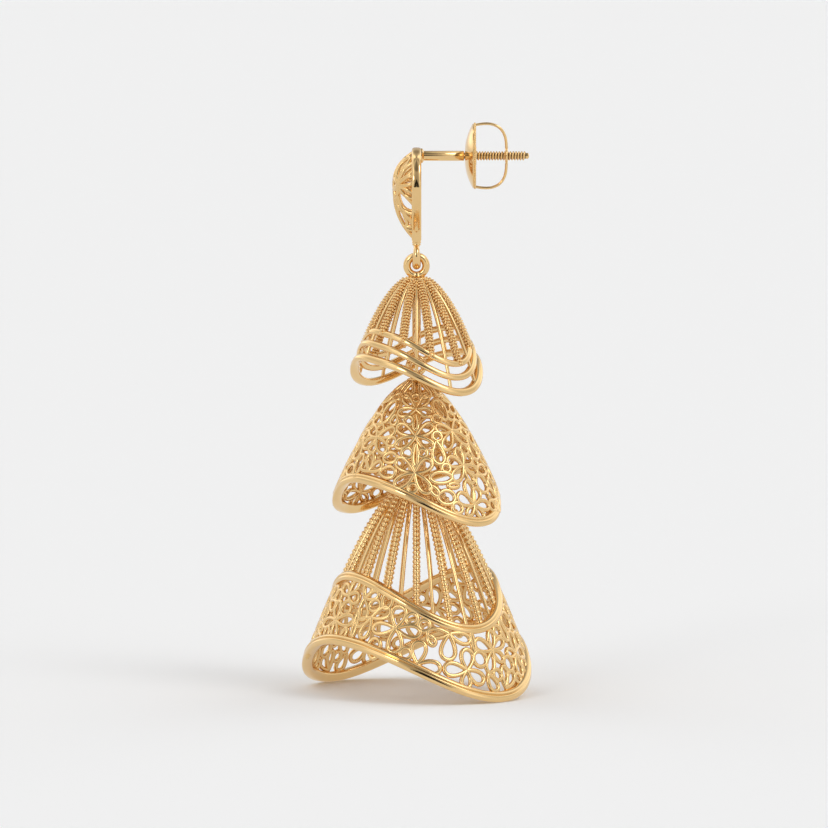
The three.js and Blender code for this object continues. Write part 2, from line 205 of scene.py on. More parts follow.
def buffed_group():
    tree = group("buffed metal", {
        "Grain per metre": 900.0, "Streaks": 0.05, "Roughness": 0.08, "Unevenness": 0.06,
        "Light Colour": "Color", "Deep Colour": "Color",
    }, {"Colour": "Color", "Roughness": "Float", "Height": "Float"}, "ShaderNodeTree")
    place = tree.add("ShaderNodeTexCoord")["Object"]
    cloud = tree.add("ShaderNodeTexNoise", Vector=place, Scale=tree["Grain per metre"], Detail=3)["Fac"]
    stretched = tree.add("ShaderNodeMapping", Vector=place, Scale=STREAKS_PER_METRE)
    streak = tree.add("ShaderNodeTexNoise", Vector=stretched, Scale=1, Detail=2)["Fac"]
    colour = tree.add("ShaderNodeMix", data_type="RGBA", Factor=cloud, A=tree["Deep Colour"],
                      B=tree["Light Colour"])["Result"]
    gloss = cloud * tree["Unevenness"] + tree["Roughness"]
    return tree.finish(colour, gloss, streak * tree["Streaks"])


BUFFED = buffed_group()
print("group", BUFFED.name, "with", len(BUFFED.nodes), "nodes")

# %% [markdown]
# The rims, rods, frame, cages and the beads on them take the full polish. The filigree wires and
# the milled edge are tumbled instead, so they are a little softer, and slightly deeper in colour.

# %% The two finishes
FULL_POLISH = {"light": (0.88, 0.62, 0.295), "deep": (0.84, 0.56, 0.255), "roughness": 0.06, "unevenness": 0.05,
               "streaks": 0.5}
TUMBLE = {"light": (0.87, 0.60, 0.275), "deep": (0.82, 0.54, 0.235), "roughness": 0.15, "unevenness": 0.10,
          "streaks": 0.8}
BUMP = {"Distance": 0.02 * MM, "Strength": 0.3}


def gold(name, light, deep, roughness, unevenness, streaks):
    material = bpy.data.materials.new(name)
    material.use_nodes = True
    tree = Tree(material.node_tree)
    finish = tree.add("ShaderNodeGroup", node_tree=BUFFED, Light_Colour=(*light, 1), Deep_Colour=(*deep, 1),
                      Roughness=roughness, Unevenness=unevenness, Streaks=streaks)
    bump = tree.add("ShaderNodeBump", Height=finish["Height"], **BUMP)
    tree.fill(tree.data.nodes["Principled BSDF"], Metallic=1.0, Base_Color=finish["Colour"],
              Roughness=finish["Roughness"], Normal=bump)
    material.diffuse_color = (*light, 1)
    return material


POLISHED = gold("polished gold", **FULL_POLISH)
TUMBLED = gold("tumbled gold", **TUMBLE)
print("materials", [material.name for material in (POLISHED, TUMBLED)])

# %% [markdown]
# The first Geometry Nodes group is the bell's rule as nodes. Given a turn about the axis, a height
# and how deep under the outer face to stay, it puts out the point on the bell. Rims, wires and
# flowers all use it.

# %% The bell's rule as a node group
BELL_SIZES = {"Crown": 0.0, "Spread": 1.0, "Power": 0.5}


def on_the_bell():
    tree = group("on the bell", {"Turn": 0.0, "Height": 0.0, "Depth": 0.0, **BELL_SIZES}, {"Position": "Vector"})
    below = calc("MAXIMUM", tree["Crown"] - tree["Height"], 1e-6)
    radius = tree["Spread"] * below ** tree["Power"]
    slope = radius * tree["Power"] / below
    inward = tree["Depth"] / calc("SQRT", slope * slope + 1.0)
    x, y = ((radius - inward) * calc(side, tree["Turn"]) for side in ("COSINE", "SINE"))
    return tree.finish(tree.add("ShaderNodeCombineXYZ", x, y + BELL_AXIS_Y, tree["Height"] - inward * slope))


ON_THE_BELL = on_the_bell()


def bell_inputs(bell):
    """The bell's sizes in metres, for a tree's inputs."""
    spread = bell["spread"] * MM ** (1 - bell["power"])
    return {"Crown": bell["crown"] * MM, "Spread": spread, "Power": bell["power"]}


def lay(tree, geometry, turn, height, depth):
    """Points moved on to the bell, whose sizes are the tree's own inputs."""
    sizes = {label: tree[label] for label in BELL_SIZES}
    place = tree.add("GeometryNodeGroup", node_tree=ON_THE_BELL, Turn=turn, Height=height, Depth=depth, **sizes)
    return tree.add("GeometryNodeSetPosition", geometry, Position=place)


def position(tree):
    return tree.add("ShaderNodeSeparateXYZ", tree.add("GeometryNodeInputPosition"))


print("group", ON_THE_BELL.name, "with", len(ON_THE_BELL.nodes), "nodes")

# %% [markdown]
# Running a tree: the modifier's inputs are set by their sockets' identifiers, the evaluated object
# becomes a plain mesh, and the object that carried the modifier is deleted. `dress` then hands a
# piece to the frame: the body that it rides on, the solid that it stands for, and its smooth faces.

# %% Make pieces, and hand them over


def new_piece(name, data):
    piece = bpy.data.objects.new(name, data)
    bpy.context.scene.collection.objects.link(piece)
    return piece


def new_mesh(name, vertices, faces=(), material=None):
    mesh = bpy.data.meshes.new(name)
    mesh.from_pydata(vertices, [], faces)
    if material:
        mesh.materials.append(material)
    return mesh


def new_curve(name, paths, cyclic=True):
    """A curve with one spline for each path, whose points have two or three coordinates."""
    curve = bpy.data.curves.new(name, "CURVE")
    curve.dimensions = "3D"
    for path in paths:
        spline = curve.splines.new("POLY")
        spline.points.add(len(path) - 1)
        for point, place in zip(spline.points, path):
            point.co = (*place, *[0] * (3 - len(place)), 1)
        spline.use_cyclic_u = cyclic
    return curve


def run_tree(name, tree, values, source=None):
    """A plain mesh object made by a tree, from the data of a source or from nothing."""
    carrier = new_piece("carrier", source or bpy.data.meshes.new(name))
    modifier = carrier.modifiers.new("tree", "NODES")
    modifier.node_group = tree
    for item in tree.interface.items_tree:
        if item.in_out == "INPUT" and item.name in values:
            modifier[item.identifier] = values[item.name]
    shaped = carrier.evaluated_get(bpy.context.evaluated_depsgraph_get())
    mesh = bpy.data.meshes.new_from_object(shaped)
    bpy.data.objects.remove(carrier)
    mesh.name = name
    return new_piece(name, mesh)


def dress(piece, body, *nodes, sharp=None):
    """Hands a piece over. sharp is the angle in degrees over which an edge stays sharp."""
    mesh = piece.data
    for polygon in mesh.polygons:
        polygon.use_smooth = True
    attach(piece, body)
    if nodes:
        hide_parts(*nodes)
    if sharp:
        mesh.set_sharp_from_angle(angle=math.radians(sharp))
    mesh.calc_loop_triangles()
    corners = [round(end(vertex.co[axis] for vertex in mesh.vertices) / MM, 1) for end in (min, max)
               for axis in range(3)]
    print(piece.name, len(mesh.loop_triangles), "triangles, mm", corners)


# %% [markdown]
# A rim is one closed path on the bell, swept with a section. The section is a rounded bar. The
# larger rims have a fine groove under their upper edge, as if a thin wire were soldered along the
# top. The path is a circle that the rule bends, and the section is its own small curve.

# %% The section of a rim
GROOVE_DOWN, GROOVE_WIDTH = 0.34, 0.07  # the groove's middle below the top, and its half width, in mm
FINE_STEPS = 720
SHARPEST_BEND = math.radians(14)  # between two kept points
LONGEST_SIDE = 0.16  # between two kept points, in mm


def rim_outline(rim, lean):
    """Points (across, up) round the section, closer together where it bends. lean tips it with the wall."""
    half_thick, half_tall = rim["thick"] / 2, rim["tall"] / 2
    squareness = 0.62 if rim["groove"] else 0.80
    fine = []
    for step in range(FINE_STEPS):
        angle = 2 * math.pi * step / FINE_STEPS
        across = abs(math.cos(angle)) ** squareness * math.copysign(half_thick, math.cos(angle))
        up = abs(math.sin(angle)) ** squareness * math.copysign(half_tall, math.sin(angle))
        if across > 0:
            across -= rim["groove"] * math.exp(-((up - (half_tall - GROOVE_DOWN)) / GROOVE_WIDTH) ** 2)
        fine.append((across + lean * up, up))
    kept, heading = [fine[0]], None
    for before, after in zip(fine, fine[1:]):
        turned = math.atan2(after[1] - before[1], after[0] - before[0])
        heading = turned if heading is None else heading
        bend = abs(math.remainder(turned - heading, 2 * math.pi))
        if bend > SHARPEST_BEND or math.dist(before, kept[-1]) > LONGEST_SIDE:
            kept.append(before)
            heading = turned
    return kept


print("points round a section", {name: len(rim_outline(rim, 0)) for name, rim in RIMS.items()})

# %% [markdown]
# The tree bends a circle by the rims' rule, now written in nodes, and sweeps the section along it.
# The section keeps upright on the way round. Curve to Mesh lays a section's y downward, so the
# section is drawn with up as -y.

# %% The rims
WAVE_SIZES = {"Rise": 0.0, "High Turn": 0.0}
SECTION_LEAN = 0.5  # how much of the wall's slope a rim's section takes


def wave_height(tree, turn, middle):
    """The rule of rim_height as nodes."""
    past = turn - tree["High Turn"]
    plain = tree["Rise"] * calc("COSINE", past * 2.0) + middle
    return calc("COSINE", past * 4.0 + -4 * math.radians(CREST_LEAN)) * (-CREST_FLAT * MM) + plain


def rim_tree():
    tree = group("waved rim", {"Middle Height": 0.0, **WAVE_SIZES, "Inset": 0.0, **BELL_SIZES, "Steps": 200,
                               "Section": "Object", "Material": "Material"})
    circle = tree.add("GeometryNodeCurvePrimitiveCircle", Resolution=tree["Steps"], Radius=1.0)
    place = position(tree)
    turn = calc("ARCTAN2", place["Y"], place["X"])
    bent = lay(tree, circle, turn, wave_height(tree, turn, tree["Middle Height"]), tree["Inset"])
    upright = tree.add("GeometryNodeSetCurveNormal", bent, mode="Z_UP")
    section = tree.add("GeometryNodeObjectInfo", tree["Section"])["Geometry"]
    return tree.close(tree.add("GeometryNodeCurveToMesh", Curve=upright, Profile_Curve=section))


RIM_TREE = rim_tree()


def make_rim(name, bell, body, *nodes):
    rim = RIMS[name]
    slope = bell["power"] * flare(bell, rim["z"]) / (bell["crown"] - rim["z"])
    outline = rim_outline(rim, -slope * SECTION_LEAN)[::-1]
    section = new_piece("rim section", new_curve("rim section", [[(x * MM, -up * MM) for x, up in outline]]))
    # The place under the face is found along its normal, which also leads down, so start higher.
    inset = rim["thick"] / 2 + rim["set_in"]
    piece = run_tree(name, RIM_TREE, {
        "Middle Height": (rim["z"] + inset * slope / (1 + slope ** 2)) * MM,
        "Rise": rim["rise"] * MM,
        "High Turn": math.radians(rim["high_turn"]),
        "Inset": inset / math.hypot(1, slope) * MM,
        "Section": section,
        "Material": POLISHED,
        **bell_inputs(bell),
    })
    bpy.data.objects.remove(section)
    dress(piece, body, *nodes)


make_rim("top_rim_1", TOP_BELL, "top_body", "top_bell")
make_rim("top_rim_2", TOP_BELL, "top_body")
make_rim("top_rim_3", TOP_BELL, "top_body")
make_rim("middle_rim", MIDDLE_BELL, "middle_body", "middle_bell")
make_rim("skirt_upper_rim", SKIRT, "bottom_body", "bottom_bell")
make_rim("skirt_lower_rim", SKIRT, "bottom_body")

# %% [markdown]
# The top and bottom bells are cages of wires from the crown to a rim: plain round wires, and wires
# set with beads or grains. Each wire is the same line, so one group makes them all. It lays copies
# of a straight line side by side in a flat chart, with turn across and a share of the way down,
# then wraps the chart on the bell. The foot of each wire follows the rim's wave.

# %% The wires of a cage
CAGE_SIZES = {"Count": 12, "First Turn": 0.0, "Top Height": 0.0, "Foot Height": 0.0, **WAVE_SIZES, "Depth": 0.0,
              **BELL_SIZES}
WIRE_POINTS = 40
FALL_POWER = 1.5  # over 1, points are closer together near the crown, where the bell bends most


def cage_tree():
    """A curve for each wire of a cage."""
    tree = group("cage of wires", CAGE_SIZES)
    line = tree.add("GeometryNodeCurvePrimitiveLine", Start=(0, 0, 0), End=(0, 1, 0))
    fine = tree.add("GeometryNodeResampleCurve", Curve=line, Count=WIRE_POINTS)
    step = tree.add("ShaderNodeCombineXYZ", X=2 * math.pi / tree["Count"])
    start = tree.add("ShaderNodeCombineXYZ", X=tree["First Turn"])
    row = tree.add("GeometryNodeMeshLine", Count=tree["Count"], Start_Location=start, Offset=step)
    copies = tree.add("GeometryNodeInstanceOnPoints", Points=row, Instance=fine)
    chart = tree.add("GeometryNodeRealizeInstances", copies)
    place = position(tree)
    fall = wave_height(tree, place["X"], tree["Foot Height"]) - tree["Top Height"]
    height = fall * place["Y"] ** FALL_POWER + tree["Top Height"]
    return tree.finish(lay(tree, chart, place["X"], height, tree["Depth"]))


CAGE_TREE = cage_tree()


def swept(tree, curve, radius, sides):
    """A round closed wire along a curve."""
    section = tree.add("GeometryNodeCurvePrimitiveCircle", Resolution=sides, Radius=radius)
    return tree.add("GeometryNodeCurveToMesh", Curve=curve, Profile_Curve=section, Fill_Caps=True)


def wires_tree(name, sides, sizes, ornament=None):
    """A tree for a cage's wires. ornament adds what is set along them."""
    tree = group(name, {**CAGE_SIZES, "Wire Radius": 0.0002, "Sides": sides, **sizes, "Material": "Material"})
    curves = tree.add("GeometryNodeGroup", node_tree=CAGE_TREE, **{label: tree[label] for label in CAGE_SIZES})
    wires = swept(tree, curves, tree["Wire Radius"], tree["Sides"])
    if ornament:
        wires = tree.add("GeometryNodeJoinGeometry", wires)
        tree.fill(wires.socket.node, ornament(tree, curves))
    return tree.close(wires)


PLAIN_WIRES_TREE = wires_tree("plain wires", 10, {})
print("trees", CAGE_TREE.name, "and", PLAIN_WIRES_TREE.name)

# %% [markdown]
# The bottom bell's heavy wires look like stacks of flattened beads, a little wider than they are
# tall. The tree resamples each wire at the beads' pitch and sets one bead on each point, its axis
# along the wire, with a thin core wire that keeps the stack together. Close to the crown the wires
# crowd together, so the beads there shrink.

# %% Beaded wires


def stations(tree, curves):
    """Points along the wires, the rotation of each, and the room for a wire there."""
    points = tree.add("GeometryNodeResampleCurve", mode="LENGTH", Curve=curves, Length=tree["Pitch"])
    along = tree.add("FunctionNodeAlignRotationToVector", axis="Z", Vector=tree.add("GeometryNodeInputTangent"))
    place = position(tree)
    reach = calc("SQRT", place["X"] * place["X"] + (place["Y"] - BELL_AXIS_Y) ** 2.0)
    return points, along, reach * (tree["Crowding"] / tree["Count"])


def beads(tree, curves):
    points, along, room = stations(tree, curves)
    bead = tree.add("GeometryNodeMeshUVSphere", Segments=12, Rings=6, Radius=1.0)
    radius = calc("MINIMUM", tree["Bead Radius"], room)
    size = tree.add("ShaderNodeCombineXYZ", radius, radius, tree["Bead Height"] * 0.5)
    return tree.add("GeometryNodeInstanceOnPoints", Points=points, Instance=bead, Rotation=along, Scale=size)


BEADED_WIRES_TREE = wires_tree("beaded wires", 8, {
    "Pitch": 0.0005, "Bead Radius": 0.0004, "Bead Height": 0.0005, "Crowding": 1.0}, beads)
print("tree", BEADED_WIRES_TREE.name, "with", len(BEADED_WIRES_TREE.nodes), "nodes")

# %% [markdown]
# The top bell's heavy wires are finer work: rings of tiny grains round a core. It is the beaded
# tree with a ring of grains in place of the bead, each ring turned by half a grain from the last.

# %% Granulated wires


def grain_rings(tree, curves):
    points, along, room = stations(tree, curves)
    ring = tree.add("GeometryNodeMeshCircle", Vertices=tree["Grains"], Radius=tree["Ring Radius"])
    grain = tree.add("GeometryNodeMeshIcoSphere", Subdivisions=1, Radius=tree["Grain Radius"])
    grains = tree.add("GeometryNodeInstanceOnPoints", Points=ring, Instance=grain)
    spin = tree.add("GeometryNodeInputIndex") * (math.pi / tree["Grains"])
    spun = tree.add("FunctionNodeAxisAngleToRotation", Axis=(0, 0, 1), Angle=spin)
    turned = tree.add("FunctionNodeRotateRotation", rotation_space="LOCAL", Rotation=along, Rotate_By=spun)
    share = calc("MINIMUM", 1.0, room / (tree["Ring Radius"] + tree["Grain Radius"]))
    size = tree.add("ShaderNodeCombineXYZ", share, share, 1.0)
    return tree.add("GeometryNodeInstanceOnPoints", Points=points, Instance=grains, Rotation=turned, Scale=size)


GRAINED_WIRES_TREE = wires_tree("granulated wires", 8, {
    "Pitch": 0.00031, "Ring Radius": 0.00031, "Grain Radius": 0.000155, "Grains": 8, "Crowding": 1.0}, grain_rings)
print("tree", GRAINED_WIRES_TREE.name, "with", len(GRAINED_WIRES_TREE.nodes), "nodes")

# %% [markdown]
# The cages: in the top bell the plain wires run on through all three rims, and the granulated
# ones end at the first. In the bottom bell both kinds end inside the upper rim of the skirt.

# %% Make the cages
TOP_WIRES, BOTTOM_WIRES = 12, 16  # of each kind
CROWDING = 4.5  # a wire's radius is at most this times its distance from the axis, over the count


def make_cage(name, tree, bell, rim, body, count, first_turn, top_depth, depth, **sizes):
    """A cage whose feet follow a rim. Depths are below the crown and under the face, in mm."""
    rim = RIMS[rim]
    dress(run_tree(name, tree, {
        "Count": count,
        "First Turn": math.radians(first_turn),
        "Top Height": (bell["crown"] - top_depth) * MM,
        "Foot Height": rim["z"] * MM,
        "Rise": rim["rise"] * MM,
        "High Turn": math.radians(rim["high_turn"]),
        "Depth": depth * MM,
        "Crowding": CROWDING,
        "Material": POLISHED,
        **{label.replace("_", " "): size * MM for label, size in sizes.items()},
        **bell_inputs(bell),
    }), body)


top = {"bell": TOP_BELL, "body": "top_body", "count": TOP_WIRES}
bottom = {"bell": BOTTOM_BELL, "rim": "skirt_upper_rim", "body": "bottom_body", "count": BOTTOM_WIRES}
make_cage("top_plain_wires", PLAIN_WIRES_TREE, **top, rim="top_rim_3", first_turn=0, top_depth=0.02, depth=0.25,
          Wire_Radius=0.18)
make_cage("top_granulated_wires", GRAINED_WIRES_TREE, **top, rim="top_rim_1", first_turn=180 / TOP_WIRES,
          top_depth=0.05, depth=0.27, Wire_Radius=0.24)
make_cage("bottom_plain_wires", PLAIN_WIRES_TREE, **bottom, first_turn=180 / BOTTOM_WIRES, top_depth=0.05,
          depth=0.25, Wire_Radius=0.19)
make_cage("bottom_beaded_wires", BEADED_WIRES_TREE, **bottom, first_turn=0, top_depth=0.05, depth=0.26,
          Wire_Radius=0.30, Bead_Radius=0.41, Bead_Height=0.56)

# %% [markdown]
# The pierced walls are wire flowers: four petals, each a loop of wire that starts and ends at the
# flower's heart, with a small grain on the heart. They are drawn flat, like a goldsmith's pattern,
# with turn across and height up, and a tree wraps the drawing on the bell and gives it thickness.

# %% Draw petals in the chart
PETAL_POINTS = 28
PINCH_PEAK = 0.77  # the greatest value of sin(a) * sin(a / 2), so that a petal has its full width


def petal_shape(width, roundness=0.0):
    """Points round a petal: the share of the way to its tip, and how far aside. Its root is pointed
    at a roundness of 0."""
    points = []
    for step in range(PETAL_POINTS):
        angle = 2 * math.pi * step / PETAL_POINTS
        pinch = math.sin(angle / 2) / PINCH_PEAK
        points.append(((1 - math.cos(angle)) / 2, width / 2 * math.sin(angle) * (pinch + (1 - pinch) * roundness)))
    return points


def wall_slope(bell, z):
    """How much longer the wall is than the height that it covers."""
    return math.hypot(1, bell["power"] * flare(bell, z) / (bell["crown"] - z))


def petal(bell, root, tip, width, roundness=0.0):
    """A loop in the chart, from its root to its tip, each a turn and a height."""
    z_middle = (root[1] + tip[1]) / 2
    radius, slope = flare(bell, z_middle), wall_slope(bell, z_middle)
    right, up = math.radians(tip[0] - root[0]) * radius, (tip[1] - root[1]) * slope
    length = math.hypot(right, up)
    points = []
    for along, aside in petal_shape(width, roundness):
        x, y = right * along - up * aside / length, up * along + right * aside / length
        points.append((math.radians(root[0]) + x / radius, (root[1] + y / slope) * MM))
    return points


print("one petal has", len(petal(SKIRT, (0, -46), (0, -44), 1.5)), "points")

# %% [markdown]
# The tree for a pierced wall takes the drawing as a curve, and the tree for the hearts takes them
# as loose points, both in the chart. Wrapping comes before the sweep, so every wire stays round.

# %% The trees for a pierced wall
CHART_SIZES = {"Geometry": "Geometry", "Depth": 0.0, **BELL_SIZES}


def wrapped(tree):
    """The chart that a tree is given, wrapped on the bell."""
    place = position(tree)
    return lay(tree, tree["Geometry"], place["X"], place["Y"], tree["Depth"])


def filigree_tree():
    tree = group("filigree wall", {**CHART_SIZES, "Wire Radius": 0.00018, "Sides": 8, "Material": "Material"})
    return tree.close(swept(tree, wrapped(tree), tree["Wire Radius"], tree["Sides"]))


def hearts_tree():
    tree = group("flower hearts", {**CHART_SIZES, "Heart Radius": 0.0003, "Material": "Material"})
    grain = tree.add("GeometryNodeMeshIcoSphere", Subdivisions=2, Radius=tree["Heart Radius"])
    return tree.close(tree.add("GeometryNodeInstanceOnPoints", Points=wrapped(tree), Instance=grain))


FILIGREE_TREE, HEARTS_TREE = filigree_tree(), hearts_tree()
HEART_RADIUS = 0.24  # in mm


def pierced_wall(name, bell, loops, hearts, body, wire_radius, depth):
    values = {**bell_inputs(bell), "Depth": depth * MM, "Wire Radius": wire_radius * MM, "Material": TUMBLED}
    dress(run_tree(name, FILIGREE_TREE, values, new_curve("pattern", loops)), body)
    points = new_mesh("hearts", [(math.radians(turn), z * MM, 0) for turn, z in hearts])
    values.update({"Heart Radius": HEART_RADIUS * MM, "Material": POLISHED})
    dress(run_tree(name + "_hearts", HEARTS_TREE, values, points), body)
    print(name, "has", len(loops), "loops and", len(hearts), "hearts")


# %% [markdown]
# The flowers leave gaps of many shapes, and a rule closes them: the widest gap gets a ring that
# just reaches the wires round it, then the next widest, until no gap is wider than the holes of
# the work. A k-d tree finds the nearest wire to a point quickly. The rings are found for half a
# turn and drawn twice.

# %% Rings for the gaps
GAP_STEP = 0.16  # spacing of the points that are tried, in mm
ROW_STEP = 0.8 * GAP_STEP  # spacing of their rows
RING_POINTS = 20
RING_OVERLAP = 0.03  # how much smaller a ring is than its gap, in mm
RIM_COVER = 0.1  # how far the wires run in under a rim, in mm
OPEN_RADIUS = 0.5  # of a gap that is left open, in mm


def in_space(bell, turn, z):
    a = math.radians(turn)
    return Vector((flare(bell, z) * math.cos(a), flare(bell, z) * math.sin(a), z))


def rim_edge(name, side):
    """The height of a rim's upper (1) or lower (-1) edge at each turn."""
    rim = RIMS[name]
    return lambda turn: rim_height(rim, turn) + side * (rim["tall"] / 2 - RIM_COVER)


def inside(loop, turn, z):
    """Whether a place in the chart is inside a loop: an even-odd count of crossings."""
    across, up, within = math.radians(turn), z * MM, False
    for (x0, y0), (x1, y1) in zip(loop, loop[1:] + loop[:1]):
        if (y0 > up) != (y1 > up) and across < x0 + (up - y0) / (y1 - y0) * (x1 - x0):
            within = not within
    return within


def find_gaps(bell, loops, top, foot, widest):
    """Places with more room than widest: room, turn, height and place, the most room first."""
    wires = [in_space(bell, math.degrees(across), up / MM) for loop in loops for across, up in loop]
    wires += [in_space(bell, turn, edge(turn)) for turn in range(360) for edge in (top, foot)]
    nearest = KDTree(len(wires))
    for number, place in enumerate(wires):
        nearest.insert(place, number)
    nearest.balance()
    gaps, z = [], max(top(turn) for turn in range(360))
    while z > min(foot(turn) for turn in range(360)):
        count = int(math.pi * flare(bell, z) / GAP_STEP)
        for number in range(count):
            turn = 180 * number / count - 90
            place = in_space(bell, turn, z)
            if foot(turn) < z < top(turn) and nearest.find(place)[2] > widest:
                gaps.append((nearest.find(place)[2], turn, z, place))
        z -= ROW_STEP
    return sorted(gaps, key=lambda gap: -gap[0])


def gap_rings(bell, loops, top, foot, widest, open_at=None):
    """Rings for the gaps. top and foot give the wall's edges at a turn, and open_at a gap to leave."""
    rings, drawn = [(in_space(bell, *open_at), OPEN_RADIUS)] if open_at else [], []
    for room, turn, z, place in find_gaps(bell, loops, top, foot, widest):
        opposite = Vector((-place.x, -place.y, place.z))
        room = min([room] + [min((place - ring).length, (opposite - ring).length) - radius for ring, radius in rings])
        if room < widest or any(inside(loop, turn, z) for loop in loops):
            continue
        radius, reach, slope = room - RING_OVERLAP, flare(bell, z), wall_slope(bell, z)
        rings.append((place, radius))
        angles = [2 * math.pi * step / RING_POINTS for step in range(RING_POINTS)]
        drawn += [[(math.radians(turn + half_turn) + radius * math.cos(a) / reach,
                    (z + radius * math.sin(a) / slope) * MM) for a in angles] for half_turn in (0, 180)]
    return drawn


# %% [markdown]
# The middle bell's flowers stand in eight columns. One half of the bell is listed, and the other
# half repeats it, half a turn on. Between the columns, single loops fill the ground: upright
# teardrops, flat loops and round ones.

# %% The middle bell's wall
# Flowers: the heart's turn and height, then each petal's tip and width. Hearts stand 45 degrees
# apart, in rows that the wave of the rim cuts across.
MIDDLE_FLOWERS = [
    ((-1, -24.9), [(-28, -25.4, 1.0), (26, -25.4, 1.0), (-27, -23.7, 0.8), (25, -23.7, 0.8)]),
    ((-1, -27.5), [(-23.5, -26.5, 1.05), (20.5, -26.4, 1.05), (-21, -28.5, 1.1), (17, -28.7, 1.1)]),
    ((-1.5, -31.0), [(-18, -29.7, 1.15), (13, -29.8, 1.2), (-16.5, -32.3, 1.2), (9.5, -32.9, 1.2)]),
    ((44.5, -27.1), [(23.5, -26.7, 1.0), (27.5, -28.8, 1.05), (66, -26.4, 1.0), (63, -28.5, 1.05)]),
    ((43.5, -30.5), [(28.5, -29.8, 1.15), (42.5, -28.8, 0.95), (30, -31.8, 1.1), (57, -29.7, 1.0),
                     (58, -31.3, 1.05), (48.5, -32.2, 0.8)]),
    ((42.8, -34.3), [(30.5, -33.3, 1.3), (42.3, -31.95, 1.1), (51.3, -32.8, 1.05), (57.5, -34.5, 1.0),
                     (35.5, -35.2, 0.7), (48, -35.6, 0.8)]),
    ((-47, -27.8), [(-26, -26.9, 1.05), (-30, -29.1, 1.1), (-66, -26.9, 1.05), (-63, -28.8, 1.05)]),
    ((-42.5, -31.0), [(-46.5, -29.3, 0.95), (-31.0, -30.2, 1.0), (-54, -30.3, 0.95)]),
    ((89, -24.9), [(62, -25.4, 1.0), (116, -25.4, 1.0), (65, -23.7, 0.8), (113, -23.7, 0.8)]),
    ((89, -27.4), [(68, -26.5, 1.0), (110, -26.4, 1.0), (70, -28.6, 1.05), (108, -28.6, 1.05)]),
    ((89, -31.0), [(75, -29.8, 1.15), (103, -29.8, 1.15), (76, -32.4, 1.15), (102, -32.3, 1.15)]),
    ((73, -34.0), [(61.5, -33.3, 1.2), (72, -32.0, 1.1), (84, -33.3, 1.1), (66, -35.2, 0.9)]),
]
# Single loops between the columns: root, tip, width, and how round the root is.
MIDDLE_LOOPS = [
    ((-47.5, -26.5), (-46, -24.2), 1.5, 0.0),
    ((42, -26.1), (40, -24.1), 1.55, 0.15),
    ((20.7, -28.0), (20.7, -30.2), 1.3, 0.1),
    ((29.5, -31.5), (10.8, -31.5), 1.2, 0.8),
    ((15.4, -33.4), (28.2, -33.4), 1.5, 0.9),
    ((-31.0, -29.6), (-17.8, -29.6), 1.15, 0.9),
    ((-31.5, -31.0), (-17.6, -31.0), 1.25, 0.4),
    ((66.5, -28.0), (66.5, -30.1), 1.3, 0.1),
    ((59.0, -31.2), (74.0, -31.1), 1.15, 0.8),
    ((-69, -28.2), (-69, -30.1), 1.3, 0.1),
    ((-76, -31.2), (-62.0, -31.1), 1.2, 0.6),
    ((-58, -31.7), (-58, -29.5), 1.2, 0.2),
    ((-1, -25.4), (-1, -26.9), 0.5, 0.6),
    ((-1, -28.2), (-1.2, -30.4), 0.5, 0.6),
    ((10.4, -32.3), (15.7, -33.2), 0.7, 0.6),
    ((24.5, -32.3), (33.5, -32.3), 0.5, 0.7),
    ((-31, -25.5), (-30.5, -26.5), 0.8, 0.6),
]


def pattern(bell, flowers, loops):
    """All the loops and hearts of a wall: the listed half and its repeat half a turn on."""
    drawn, hearts = [], []
    for half_turn in (0, 180):
        for heart, petals in flowers:
            heart = (heart[0] + half_turn, heart[1])
            hearts.append(heart)
            drawn += [petal(bell, heart, (turn + half_turn, z), width) for turn, z, width in petals]
        for root, tip, width, roundness in loops:
            drawn.append(petal(bell, (root[0] + half_turn, root[1]), (tip[0] + half_turn, tip[1]), width, roundness))
    return drawn, hearts


middle_loops, middle_hearts = pattern(MIDDLE_BELL, MIDDLE_FLOWERS, MIDDLE_LOOPS)
# A crown of petals closes the top of the bell.
CROWN_PETALS = 8
for number in range(CROWN_PETALS):
    turn = 22.5 + 360 * number / CROWN_PETALS
    middle_loops.append(petal(MIDDLE_BELL, (turn, -22.35), (turn, -23.9), 1.0, 0.2))
middle_loops += gap_rings(MIDDLE_BELL, middle_loops, lambda turn: -23.2, rim_edge("middle_rim", 1), widest=0.48)
pierced_wall("middle_flowers", MIDDLE_BELL, middle_loops, middle_hearts, "middle_body", wire_radius=0.225, depth=0.26)

# %% [markdown]
# The skirt's flowers are larger and stand upright, packed between two rims that rise and fall. A
# flower near a rim runs in under it, as if the band were cut from a larger sheet.

